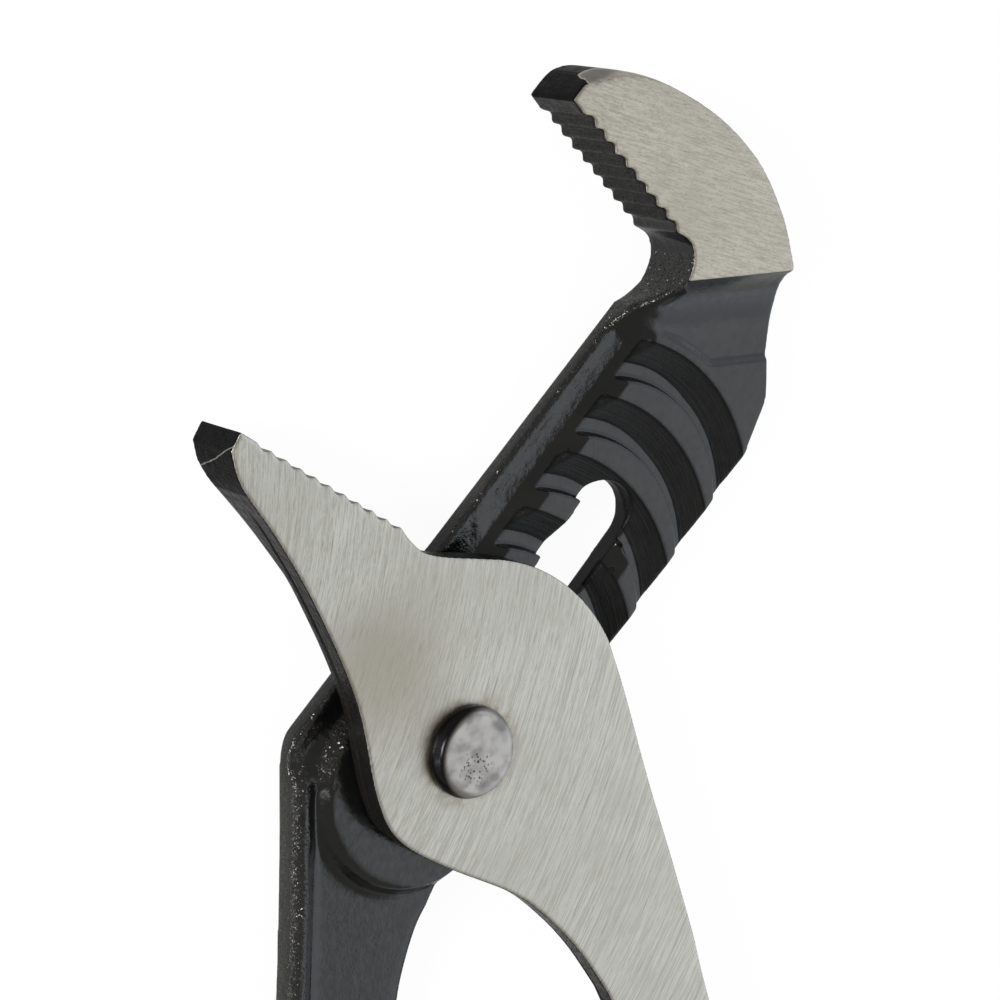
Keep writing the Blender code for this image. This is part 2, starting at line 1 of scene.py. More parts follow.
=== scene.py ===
"""Looks of a pair of water pump pliers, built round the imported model.

The tool lies on its back with the ground faces up. The pivot runs along Z, +Y points from the
pivot to the upper jaw. Lengths are in millimetres, apart from the studio's, which are in metres,
and the heights of a skin's points count from the back of the jaws.
"""

from __future__ import annotations

import json
import logging
import math
from dataclasses import dataclass, field
from enum import Enum

import bmesh
import bpy
import numpy as np
from mathutils import Matrix, Vector

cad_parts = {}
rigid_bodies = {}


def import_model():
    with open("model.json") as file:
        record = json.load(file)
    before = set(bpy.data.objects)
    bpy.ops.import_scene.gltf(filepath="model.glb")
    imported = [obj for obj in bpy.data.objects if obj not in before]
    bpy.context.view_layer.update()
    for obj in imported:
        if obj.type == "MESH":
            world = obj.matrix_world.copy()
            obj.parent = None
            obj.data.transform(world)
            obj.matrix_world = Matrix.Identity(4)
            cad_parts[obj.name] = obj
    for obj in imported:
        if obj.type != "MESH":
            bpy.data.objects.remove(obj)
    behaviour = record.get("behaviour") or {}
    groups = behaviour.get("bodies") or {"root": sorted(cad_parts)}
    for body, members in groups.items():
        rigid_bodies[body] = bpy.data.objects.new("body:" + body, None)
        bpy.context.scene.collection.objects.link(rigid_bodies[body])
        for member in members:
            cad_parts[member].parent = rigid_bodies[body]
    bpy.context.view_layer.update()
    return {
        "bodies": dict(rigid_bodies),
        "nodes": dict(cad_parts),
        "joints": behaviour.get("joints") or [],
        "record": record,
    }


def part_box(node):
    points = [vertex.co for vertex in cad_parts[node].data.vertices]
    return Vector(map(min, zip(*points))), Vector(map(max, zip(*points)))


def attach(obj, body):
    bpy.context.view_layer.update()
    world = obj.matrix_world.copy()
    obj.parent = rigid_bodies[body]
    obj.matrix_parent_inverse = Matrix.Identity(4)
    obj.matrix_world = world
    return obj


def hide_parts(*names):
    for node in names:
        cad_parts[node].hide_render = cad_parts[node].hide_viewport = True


MM = 0.001
LOG = logging.getLogger("pliers")

MERGE_GAP = 0.002
MARK_LIMIT = 1000.0
NOWHERE = -1.0

Colour = tuple[float, float, float]
Place = tuple[float, float, float]
Point = tuple[float, float]
Span = tuple[float, float]
Line = tuple[Point, ...]

WHITE: Colour = (1.0, 1.0, 1.0)
MID_GREY: Colour = (0.5, 0.5, 0.5)
UNIT: Span = (0.0, 1.0)
PLAN: Place = (1.0, 1.0, 0.0)


class Body(Enum):
    """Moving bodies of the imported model."""

    REAR = "rear_half"
    PIVOT = "pivot"
    FRONT = "front_half"


class Slot(Enum):
    """Finishes that the record names."""

    BLACK = "black_finish"
    GROUND = "ground_steel"
    PIVOT = "pivot_steel"
    DIPPED = "dipped_grip"


class Mark(Enum):
    """Attributes that carry a surface's making from the mesh to its finish."""

    SOFTEN = "soften"
    # forged: how rough the forging is; its highest values also bring a painted sheen
    FORGED = "forged"
    RING = "ring"
    MILLED = "milled"
    BARE = "bare"
    # crease: distance from the lower jaw's tip crease, along which a painted glint line is drawn
    CREASE = "crease"


@dataclass(frozen=True)
class Noise:
    """Settings of one noise texture."""

    scale: float
    detail: float = 2.0
    rough: float = 0.5


def around(middle: float, spread: Span) -> Span:
    """Return a span laid about a value."""
    return middle + spread[0], middle + spread[1]


class Nodes:
    """Writes the nodes of one tree."""

    NUMBERS = ("LENGTH", "DISTANCE", "DOT_PRODUCT")

    def __init__(self, tree: bpy.types.NodeTree) -> None:
        """Keep the tree that is written to."""
        self.tree = tree

    def put(self, socket: bpy.types.NodeSocket, value: object) -> None:
        """Link a socket to an input, or set the input's own value.

        Args:
            socket: The input.
            value: A socket to link, or a plain value.
        """
        if isinstance(value, bpy.types.NodeSocket):
            self.tree.links.new(value, socket)
        else:
            socket.default_value = value

    def add(self, kind: str, inputs: dict[str | int, object] | None = None,
            **settings: object) -> bpy.types.Node:
        """Add a node.

        Args:
            kind: The node's type name.
            inputs: Values or sockets for its inputs, by name or number.
            **settings: The node's own properties.

        Returns:
            The new node.
        """
        node = self.tree.nodes.new(kind)
        for key, value in settings.items():
            setattr(node, key, value)
        for key, value in (inputs or {}).items():
            self.put(node.inputs[key], value)
        return node

    def math(self, operation: str, a: object, b: object = 0.0,
             clamp: bool = False) -> bpy.types.NodeSocket:
        """Return the result of a Math node."""
        return self.add("ShaderNodeMath", {0: a, 1: b}, operation=operation, use_clamp=clamp).outputs[0]

    def times(self, a: object, b: object) -> bpy.types.NodeSocket:
        """Return the product of two values."""
        return self.math("MULTIPLY", a, b)

    def vector(self, operation: str, a: object, b: object = (0.0, 0.0, 0.0)) -> bpy.types.NodeSocket:
        """Return the result of a Vector Math node, which is a number for some operations."""
        node = self.add("ShaderNodeVectorMath", {0: a, 1: b}, operation=operation)
        return node.outputs["Value" if operation in self.NUMBERS else "Vector"]

    def remap(self, value: object, span: Span, to: Span = UNIT) -> bpy.types.NodeSocket:
        """Ease a value from one range to another.

        Args:
            value: The value.
            span: The range that it comes from.
            to: The range that it goes to.

        Returns:
            The eased value.
        """
        node = self.add("ShaderNodeMapRange", {"Value": value, "From Min": span[0], "From Max": span[1],
                                               "To Min": to[0], "To Max": to[1]})
        node.interpolation_type = "SMOOTHSTEP"
        return node.outputs["Result"]

    def mix(self, factor: object, a: object, b: object) -> bpy.types.NodeSocket:
        """Blend two colours.

        Args:
            factor: Share of the second one.
            a: First colour.
            b: Second colour.

        Returns:
            The colour between them.
        """
        node = self.add("ShaderNodeMix", data_type="RGBA")
        for socket, value in zip((node.inputs[0], node.inputs[6], node.inputs[7]), (factor, a, b)):
            self.put(socket, (*value, 1.0) if isinstance(value, tuple) else value)
        return node.outputs[2]

    def millimetres(self, stretch: float = 1.0) -> bpy.types.NodeSocket:
        """Return Object coordinates in millimetres, times a stretch."""
        place = self.add("ShaderNodeTexCoord").outputs["Object"]
        return self.add("ShaderNodeMapping", {"Vector": place, "Scale": (stretch / MM,) * 3}).outputs[0]

    def height(self) -> bpy.types.NodeSocket:
        """Return the height above the floor in millimetres."""
        return self.add("ShaderNodeSeparateXYZ", {0: self.millimetres()}).outputs["Z"]

    def noise(self, vector: bpy.types.NodeSocket, noise: Noise) -> bpy.types.NodeSocket:
        """Return a noise value."""
        return self.add("ShaderNodeTexNoise", {"Vector": vector, "Scale": noise.scale,
                                               "Detail": noise.detail,
                                               "Roughness": noise.rough}).outputs["Fac"]

    def mark(self, mark: Mark) -> bpy.types.NodeSocket:
        """Return a value that the mesh carries."""
        return self.add("ShaderNodeAttribute", attribute_name=mark.value).outputs["Fac"]

    def seen(self) -> bpy.types.NodeSocket:
        """Return 1 for rays that show a thing to the camera, straight on or through glass."""
        path = self.add("ShaderNodeLightPath").outputs
        return self.math("MAXIMUM", path["Is Camera Ray"], path["Is Transmission Ray"])

    def bump(self, height: object, depth: float, strength: object = 1.0,
             under: bpy.types.NodeSocket | None = None) -> bpy.types.NodeSocket:
        """Raise a normal by a height.

        Args:
            height: Height value, 0 to 1.
            depth: Depth in millimetres that a height of 1 stands for.
            strength: How much of it shows.
            under: Normal that this one is laid over.

        Returns:
            The normal's socket.
        """
        inputs = {"Height": height, "Distance": depth * MM, "Strength": strength}
        if under is not None:
            inputs["Normal"] = under
        return self.add("ShaderNodeBump", inputs).outputs[0]


def new_material(name: str) -> tuple[bpy.types.Material, Nodes]:
    """Make an empty node material.

    Args:
        name: The material's name.

    Returns:
        The material and a writer for its nodes.
    """
    material = bpy.data.materials.new(name)
    material.use_nodes = True
    material.node_tree.nodes.clear()
    return material, Nodes(material.node_tree)


def close_material(nodes: Nodes, shader: bpy.types.NodeSocket) -> None:
    """Lead a shader to the material's output."""
    nodes.add("ShaderNodeOutputMaterial", {"Surface": shader})


@dataclass(frozen=True)
class BlackFinish:
    """Glossy black finish on forged steel, thin over the milled grooves, with a painted sheen on the
    roughest forging.
    """

    colour: Colour = (0.004, 0.0042, 0.0046)
    worn: Colour = (0.008, 0.008, 0.0076)
    wear: Noise = Noise(0.12, 4.0)
    wear_span: Span = (0.35, 0.75)
    # Painted sheen: a lighter colour laid on the roughest forging (rim, throat, teeth, edges), standing
    # in for the glints seen there.
    rough_painted_sheen: Colour = (0.0125, 0.0118, 0.011)
    painted_sheen_span: Span = (0.75, 1.0)
    gloss: float = 0.17
    gloss_spread: Span = (-0.05, 0.1)
    smears: Noise = Noise(0.8, 3.0)
    smear_span: Span = (0.3, 0.7)
    lumps: Noise = Noise(0.45, 3.0)
    lump_depth: float = 0.05
    lump_strength: Span = (0.1, 1.0)
    grain: Noise = Noise(2.6, 2.0, 0.6)
    grain_depth: float = 0.03
    grain_strength: Span = (0.12, 1.0)
    wrinkles: Noise = Noise(0.9, 3.0, 0.6)
    wrinkle_depth: float = 0.17
    wrinkle_span: Span = (0.55, 0.66)
    wrinkle_strength: Span = (0.2, 1.0)
    fleck_scale: float = 5.0
    fleck_depth: float = 1.0
    fleck_pick: Span = (0.45, 1.0)
    fleck_slope: Span = (0.1, 1.0)
    fleck_span: Span = (1.0, 1.5)
    fleck_growth: Span = (1.0, 2.4)
    cuts: Noise = Noise(3.4, 3.0, 0.75)
    cut_drift: float = 0.02
    cut_depth: float = 0.11
    cut_gloss: float = 0.36
    milled_span: Span = (-0.04, 0.06)
    shine: float = 0.5
    edge_shine: float = 0.1
    cut_shine: float = 0.28
    cut_span: Span = (0.05, 0.7)
    tip_shine: float = 0.03
    tip_span: Span = (0.9, 1.3)

    def flecks(self, nodes: Nodes, place: bpy.types.NodeSocket) -> bpy.types.NodeSocket:
        """Make small crystal faces, few of them steep.

        Args:
            nodes: Writer of the finish's nodes.
            place: Place in millimetres.

        Returns:
            The faces' height.
        """
        cells = nodes.add("ShaderNodeTexVoronoi", {"Vector": place, "Scale": self.fleck_scale}).outputs
        within = nodes.vector("SUBTRACT", place, cells["Position"])
        lean = nodes.vector("SUBTRACT", cells["Color"], MID_GREY)
        red = nodes.add("ShaderNodeSeparateColor", {0: cells["Color"]}).outputs[0]
        return nodes.times(nodes.vector("DOT_PRODUCT", within, lean),
                           nodes.remap(red, self.fleck_pick, self.fleck_slope))

    def relief(self, nodes: Nodes, place: bpy.types.NodeSocket, rough_painted_sheen: bpy.types.NodeSocket,
               milled: bpy.types.NodeSocket) -> bpy.types.NodeSocket:
        """Lay the forging's lumps, grain, wrinkles, flecks and cutter marks over each other.

        Args:
            nodes: Writer of the finish's nodes.
            place: Place in millimetres.
            rough_painted_sheen: Share of the roughest forging, where the flecks grow; the shader also
                lays a painted sheen there.
            milled: How far the surface is milled.

        Returns:
            The normal's socket.
        """
        forged = nodes.mark(Mark.FORGED)
        lumps, grain = nodes.noise(place, self.lumps), nodes.noise(place, self.grain)
        relief = nodes.bump(lumps, self.lump_depth, nodes.remap(forged, UNIT, self.lump_strength))
        grained = nodes.remap(forged, UNIT, self.grain_strength)
        relief = nodes.bump(grain, self.grain_depth, grained, relief)
        wrinkled = nodes.remap(forged, self.wrinkle_span, self.wrinkle_strength)
        relief = nodes.bump(nodes.noise(place, self.wrinkles), self.wrinkle_depth, wrinkled, relief)
        growth = nodes.remap(forged, self.fleck_span, self.fleck_growth)
        flecks = nodes.times(self.flecks(nodes, place), growth)
        relief = nodes.bump(flecks, self.fleck_depth, rough_painted_sheen, relief)
        ring = nodes.add("ShaderNodeCombineXYZ", {"X": nodes.mark(Mark.RING)}).outputs[0]
        streak = nodes.vector("ADD", ring, nodes.millimetres(self.cut_drift))
        return nodes.bump(nodes.noise(streak, self.cuts), self.cut_depth, milled, relief)

    def sheen(self, nodes: Nodes, depth: bpy.types.NodeSocket,
              milled: bpy.types.NodeSocket) -> bpy.types.NodeSocket:
        """Dull the finish on milled walls and at the tips.

        Args:
            nodes: Writer of the finish's nodes.
            depth: Distance inside a milled wall.
            milled: How far the surface is milled.

        Returns:
            The specular level.
        """
        loss = (self.shine - self.edge_shine, self.shine - self.cut_shine)
        cut = nodes.times(nodes.remap(depth, self.cut_span, loss), milled)
        tip = nodes.remap(depth, self.tip_span, (0.0, self.cut_shine - self.tip_shine))
        return nodes.math("SUBTRACT", nodes.math("SUBTRACT", self.shine, cut), tip)

    def shader(self, nodes: Nodes) -> bpy.types.NodeSocket:
        """Make the finish's shader.

        Args:
            nodes: Writer of the finish's nodes.

        Returns:
            The shader.
        """
        place = nodes.millimetres()
        # Share of the roughest forging, which gets the flecks and the painted sheen.
        rough_painted_sheen = nodes.remap(nodes.mark(Mark.FORGED), self.painted_sheen_span)
        depth = nodes.mark(Mark.MILLED)
        milled = nodes.remap(depth, self.milled_span)
        worn = nodes.remap(nodes.noise(place, self.wear), self.wear_span)
        # Random wear tones, then the lighter painted sheen over the roughest forging.
        tone = nodes.mix(rough_painted_sheen, nodes.mix(worn, self.colour, self.worn), self.rough_painted_sheen)
        smears = nodes.noise(place, self.smears)
        rough = nodes.remap(smears, self.smear_span, around(self.gloss, self.gloss_spread))
        rough = nodes.math("ADD", rough, nodes.times(milled, self.cut_gloss - self.gloss))
        inputs = {"Base Color": tone, "Roughness": rough,
                  "Specular IOR Level": self.sheen(nodes, depth, milled),
                  "Normal": self.relief(nodes, place, rough_painted_sheen, milled)}
        return nodes.add("ShaderNodeBsdfPrincipled", inputs).outputs[0]


@dataclass(frozen=True)
class GroundSteel:
    """Bare steel with the grain of a grinding belt, in wide arcs about a far centre."""

    grain_centre: Point
    stroke: float = 12.0
    colour: Colour = (0.562, 0.547, 0.500)
    shade: Colour = (0.375, 0.360, 0.312)
    stain: Colour = (0.27, 0.23, 0.165)
    stained: float = 0.0
    edge: Colour = (0.20, 0.19, 0.175)
    edge_span: Span = (0.12, 0.5)
    fine: Noise = Noise(8.0, 3.0, 0.75)
    fine_share: float = 0.6
    broad: Noise = Noise(3.0, 3.0, 0.65)
    broad_share: float = 0.4
    broad_stroke: float = 2.5
    streak_span: Span = (0.41, 0.57)
    scratches: Noise = Noise(4.5, 1.0)
    scratch_span: Span = (0.62, 0.74)
    scratch_share: float = 0.55
    cloud: Noise = Noise(0.07, 3.0)
    cloud_span: Span = (0.35, 0.8)
    cloud_share: float = 0.4
    roughness: float = 0.42
    rough_span: Span = (0.3, 0.7)
    rough_spread: Span = (-0.06, 0.08)
    grain_depth: float = 0.02
    grain_strength: float = 0.5
    rub: Noise = Noise(0.32, 4.0, 0.65)
    rub_span: Span = (0.32, 0.62)
    halo_span: Span = (6.1, 9.0)
    halo_share: float = 0.95
    soil_centre: Point = (-13.0, 13.0)
    soil_span: Span = (2.0, 15.0)
    soil_share: float = 0.62
    soil_streak_span: Span = (0.35, 0.65)
    soil_streak: Span = (0.6, 1.0)

    def grain(self, nodes: Nodes, stroke: float) -> bpy.types.NodeSocket:
        """Turn a place so that X runs along the grain and Y across it.

        Args:
            nodes: Writer of the finish's nodes.
            stroke: How far the grain is drawn out.

        Returns:
            The turned place.
        """
        off = nodes.vector("SUBTRACT", nodes.millimetres(), (*self.grain_centre, 0.0))
        part = nodes.add("ShaderNodeSeparateXYZ", {0: off}).outputs
        turn = nodes.math("ARCTAN2", part["Y"], part["X"])
        flat = nodes.add("ShaderNodeCombineXYZ", {"X": part["X"], "Y": part["Y"]}).outputs[0]
        along = nodes.times(turn, math.hypot(*self.grain_centre) / stroke)
        away = nodes.vector("LENGTH", flat)
        return nodes.add("ShaderNodeCombineXYZ", {"X": along, "Y": away, "Z": part["Z"]}).outputs[0]

    def shader(self, nodes: Nodes, ground: bpy.types.NodeSocket) -> bpy.types.NodeSocket:
        """Make the finish's shader, darker on bare faces that lie below the ground one.

        Args:
            nodes: Writer of the finish's nodes.
            ground: 1 on the ground face and 0 below it.

        Returns:
            The shader.
        """
        place = nodes.millimetres()
        lines = self.grain(nodes, self.stroke)
        fine = nodes.noise(lines, self.fine)
        broad = nodes.noise(self.grain(nodes, self.broad_stroke * self.stroke), self.broad)
        streaks = nodes.math("ADD", nodes.times(fine, self.fine_share),
                             nodes.times(broad, self.broad_share))
        tone = nodes.mix(nodes.remap(streaks, self.streak_span), self.shade, self.colour)
        cloud = nodes.remap(nodes.noise(place, self.cloud), self.cloud_span, (0.0, self.cloud_share))
        tone = nodes.mix(cloud, tone, self.shade)
        scratch = nodes.remap(nodes.noise(lines, self.scratches), self.scratch_span)
        tone = nodes.mix(nodes.times(scratch, self.scratch_share), tone, self.stain)
        bare = nodes.remap(nodes.mark(Mark.BARE), self.edge_span)
        tone = nodes.mix(nodes.math("SUBTRACT", bare, ground, clamp=True), tone, self.edge)
        tone = nodes.mix(self.soiled(nodes, place, broad), tone, self.stain)
        rough = nodes.remap(fine, self.rough_span, around(self.roughness, self.rough_spread))
        relief = nodes.bump(fine, self.grain_depth, self.grain_strength)
        return nodes.add("ShaderNodeBsdfPrincipled", {"Base Color": tone, "Metallic": 1.0,
                                                      "Roughness": rough, "Normal": relief}).outputs[0]

    def soiled(self, nodes: Nodes, place: bpy.types.NodeSocket,
               streak: bpy.types.NodeSocket) -> bpy.types.NodeSocket:
        """Say how brown the steel is, most of all round the pivot.

        Args:
            nodes: Writer of the finish's nodes.
            place: Place in millimetres.
            streak: Noise along the grain.

        Returns:
            The share of the stain.
        """
        flat = nodes.vector("MULTIPLY", place, PLAN)
        halo = nodes.remap(nodes.vector("LENGTH", flat), self.halo_span, (self.halo_share, 0.0))
        near = nodes.times(halo, nodes.remap(nodes.noise(place, self.rub), self.rub_span))
        side = nodes.vector("DISTANCE", flat, (*self.soil_centre, 0.0))
        wide = nodes.times(nodes.remap(side, self.soil_span, (self.soil_share, 0.0)),
                           nodes.remap(streak, self.soil_streak_span, self.soil_streak))
        return nodes.times(nodes.math("MAXIMUM", near, wide), self.stained)


@dataclass(frozen=True)
class GroundForging:
    """Black forging whose front is ground bare at one height, with an optional painted glint line along
    a crease.
    """

    name: str
    steel: GroundSteel
    black: BlackFinish
    ground_from: float
    # Painted highlight: width and strength of a thin bare-steel line drawn along the crease mark as its
    # glint.
    painted_glint_width: float = 0.0
    painted_glint_share: float = 0.65
    ground_blend: float = 0.06
    bare_span: Span = (0.0, 0.1)

    def material(self) -> bpy.types.Material:
        """Make the finish's material.

        Returns:
            The material.
        """
        material, nodes = new_material(self.name)
        ground = nodes.remap(nodes.height(), (self.ground_from, self.ground_from + self.ground_blend))
        bare = nodes.math("MAXIMUM", ground, nodes.remap(nodes.mark(Mark.BARE), self.bare_span))
        # Painted highlight: a thin line of bare steel along the crease, standing for the glint on its
        # edge.
        if self.painted_glint_width > 0.0:
            off = nodes.math("ABSOLUTE", nodes.mark(Mark.CREASE))
            line = nodes.remap(off, (self.painted_glint_width / 2, self.painted_glint_width),
                               (self.painted_glint_share, 0.0))
            bare = nodes.math("MAXIMUM", bare, line)
        both = nodes.add("ShaderNodeMixShader", {0: bare, 1: self.black.shader(nodes),
                                                 2: self.steel.shader(nodes, ground)})
        close_material(nodes, both.outputs[0])
        return material


@dataclass(frozen=True)
class PivotSteel:
    """Turned steel of the pivot, pressed smooth, with small pits and painted shade on its sides, widest
    on the left.
    """

    colour: Colour = (0.357, 0.338, 0.318)
    dark: Colour = (0.193, 0.185, 0.176)
    cloud: Noise = Noise(0.4)
    cloud_span: Span = (0.4, 0.85)
    middle_span: Span = (0.2, 1.8)
    middle_share: float = 0.6
    # Painted shade: the head's sides are coloured near black, measured from a centre set off to the
    # right so the band is widest on the left.
    side: Colour = (0.022, 0.022, 0.024)
    painted_shade_spread: Span = (-0.4, 0.2)
    side_gloss: float = 0.14
    gloss_spread: Span = (0.0, 0.3)
    face_radius: float = 6.3
    face_centre: Place = (0.87, -0.23, 0.0)
    roughness: float = 0.34
    rough_span: Span = (0.3, 0.7)
    rough_spread: Span = (-0.06, 0.1)
    pit: Colour = (0.02, 0.02, 0.022)
    pit_scale: float = 2.2
    pit_span: Span = (0.2, 0.5)
    pit_depth: float = 0.05
    pit_centre: Place = (-0.5, -1.6, 0.0)
    pit_reach: Span = (0.8, 3.4)
    patch: Noise = Noise(0.9, 3.0, 0.6)
    patch_span: Span = (0.42, 0.56)

    def pits(self, nodes: Nodes, place: bpy.types.NodeSocket,
             flat: bpy.types.NodeSocket) -> bpy.types.NodeSocket:
        """Scatter pits over a patch of the face.

        Args:
            nodes: Writer of the finish's nodes.
            place: Place in millimetres.
            flat: The same place in plan.

        Returns:
            1 in a pit and 0 elsewhere.
        """
        aside = nodes.vector("DISTANCE", flat, self.pit_centre)
        patch = nodes.times(nodes.remap(nodes.noise(place, self.patch), self.patch_span),
                            nodes.remap(aside, self.pit_reach, (1.0, 0.0)))
        dots = nodes.add("ShaderNodeTexVoronoi", {"Vector": place, "Scale": self.pit_scale})
        return nodes.times(nodes.remap(dots.outputs["Distance"], self.pit_span, (1.0, 0.0)), patch)

    def material(self) -> bpy.types.Material:
        """Make the finish's material.

        Returns:
            The material.
        """
        material, nodes = new_material("pivot_steel")
        place = nodes.millimetres()
        flat = nodes.vector("MULTIPLY", place, PLAN)
        rim = nodes.vector("DISTANCE", flat, self.face_centre)
        cloud = nodes.noise(place, self.cloud)
        pits = self.pits(nodes, place, flat)
        tone = nodes.mix(nodes.remap(cloud, self.cloud_span), self.colour, self.dark)
        middle = nodes.remap(nodes.vector("LENGTH", flat), self.middle_span, (self.middle_share, 0.0))
        tone = nodes.mix(pits, nodes.mix(middle, tone, self.dark), self.pit)
        # Painted shade: near black beyond the face's radius about the off-centre point.
        tone = nodes.mix(nodes.remap(rim, around(self.face_radius, self.painted_shade_spread)), tone, self.side)
        rough = nodes.remap(cloud, self.rough_span, around(self.roughness, self.rough_spread))
        gloss = nodes.remap(rim, around(self.face_radius, self.gloss_spread), (0.0, self.side_gloss))
        rough = nodes.math("SUBTRACT", rough, gloss)
        relief = nodes.bump(pits, -self.pit_depth)
        shader = nodes.add("ShaderNodeBsdfPrincipled", {"Base Color": tone, "Metallic": 1.0,
                                                        "Roughness": rough, "Normal": relief})
        close_material(nodes, shader.outputs[0])
        return material


@dataclass(frozen=True)
class DippedGrip:
    """Matte soft plastic of a dipped sleeve."""

    colour: Colour = (0.022, 0.022, 0.024)
    light: Colour = (0.034, 0.034, 0.037)
    cloud: Noise = Noise(0.15, 3.0)
    cloud_span: Span = (0.3, 0.7)
    roughness: float = 0.5
    rough_spread: Span = (-0.06, 0.08)
    skin: Noise = Noise(3.2)
    skin_depth: float = 0.03
    skin_strength: float = 0.6

    def material(self) -> bpy.types.Material:
        """Make the finish's material.

        Returns:
            The material.
        """
        material, nodes = new_material("dipped_grip")
        place = nodes.millimetres()
        cloud = nodes.noise(place, self.cloud)
        tone = nodes.mix(nodes.remap(cloud, self.cloud_span), self.colour, self.light)
        rough = nodes.remap(cloud, self.cloud_span, around(self.roughness, self.rough_spread))
        relief = nodes.bump(nodes.noise(place, self.skin), self.skin_depth, self.skin_strength)
        shader = nodes.add("ShaderNodeBsdfPrincipled", {"Base Color": tone, "Roughness": rough,
                                                        "Normal": relief})
        close_material(nodes, shader.outputs[0])
        return material


def baked(thing: bpy.types.Object) -> bpy.types.Object:
    """Turn an object with modifiers into a plain mesh object.

    Args:
        thing: The object, which keeps its name.

    Returns:
        The same object, with the result as its mesh and no modifiers.
    """
    graph = bpy.context.evaluated_depsgraph_get()
    made = bpy.data.meshes.new_from_object(thing.evaluated_get(graph))
    thing.modifiers.clear()
    thing.data = made
    return thing


def merged_copy(node: bpy.types.Object, name: str) -> bpy.types.Object:
    """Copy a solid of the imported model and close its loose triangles.

    Args:
        node: The solid's object.
        name: Name for the copy.

    Returns:
        The copy, in the scene.
    """
    shape = bmesh.new()
    shape.from_mesh(node.data)
    bmesh.ops.remove_doubles(shape, verts=shape.verts, dist=MERGE_GAP * MM)
    mesh = bpy.data.meshes.new(name)
    shape.to_mesh(mesh)
    shape.free()
    thing = bpy.data.objects.new(name, mesh)
    bpy.context.scene.collection.objects.link(thing)
    return thing


def vertex_places(mesh: bpy.types.Mesh) -> np.ndarray:
    """Read a mesh's vertices.

    Args:
        mesh: The mesh.

    Returns:
        Places in millimetres, one row each.
    """
    flat = np.empty(len(mesh.vertices) * 3, dtype=np.float32)
    mesh.vertices.foreach_get("co", flat)
    return flat.reshape(-1, 3).astype(np.float64) / MM


def vertex_normals(mesh: bpy.types.Mesh) -> np.ndarray:
    """Read a mesh's vertex normals.

    Args:
        mesh: The mesh.

    Returns:
        Normals, one row each.
    """
    flat = np.empty(len(mesh.vertices) * 3, dtype=np.float32)
    mesh.vertex_normals.foreach_get("vector", flat)
    return flat.reshape(-1, 3).astype(np.float64)


def write_mark(mesh: bpy.types.Mesh, mark: Mark, values: np.ndarray) -> None:
    """Store one value for each vertex."""
    layer = mesh.attributes.new(mark.value, "FLOAT", "POINT")
    layer.data.foreach_set("value", np.clip(values, -MARK_LIMIT, MARK_LIMIT).astype(np.float32))


def larger(first: np.ndarray, second: np.ndarray, blend: float) -> np.ndarray:
    """Return the larger of two heights, with the valley between them filled over a blend width."""
    overlap = np.clip(blend - np.abs(first - second), 0.0, None)
    return np.maximum(first, second) + overlap * overlap / (4.0 * blend)


def ease(values: np.ndarray, span: Span) -> np.ndarray:
    """Return 0 below a span, 1 above it and a smooth step between."""
    t = np.clip((values - span[0]) / (span[1] - span[0]), 0.0, 1.0)
    return t * t * (3.0 - 2.0 * t)


def fade(values: np.ndarray, span: Span) -> np.ndarray:
    """Return 1 below a span, 0 above it and a smooth step between."""
    return ease(-values, (-span[1], -span[0]))


def blended(first: np.ndarray, second: np.ndarray | float, share: np.ndarray) -> np.ndarray:
    """Return values that go from the first to the second with a share."""
    return first * (1.0 - share) + second * share


def edge_gap(place: np.ndarray, line: Line) -> np.ndarray:
    """Return distances in plan from an open line of points.

    Args:
        place: Points in millimetres.
        line: The line's corners.

    Returns:
        One distance for each point.
    """
    corners = np.array(line)
    gap = np.full(len(place), np.inf)
    for start, end in zip(corners[:-1], corners[1:]):
        span = end - start
        share = np.clip(((place[:, :2] - start) @ span) / (span @ span), 0.0, 1.0)
        gap = np.minimum(gap, np.hypot(*(place[:, :2] - start - share[:, None] * span).T))
    return gap


def centre_gap(place: np.ndarray, centre: Point) -> np.ndarray:
    """Return distances in plan from one point."""
    return np.hypot(place[:, 0] - centre[0], place[:, 1] - centre[1])


def rounding(gap: np.ndarray, radius: float) -> np.ndarray:
    """Return how far a rounded edge drops at a distance inside it."""
    short = np.clip(radius - gap, 0.0, radius)
    return radius - np.sqrt(radius * radius - short * short)


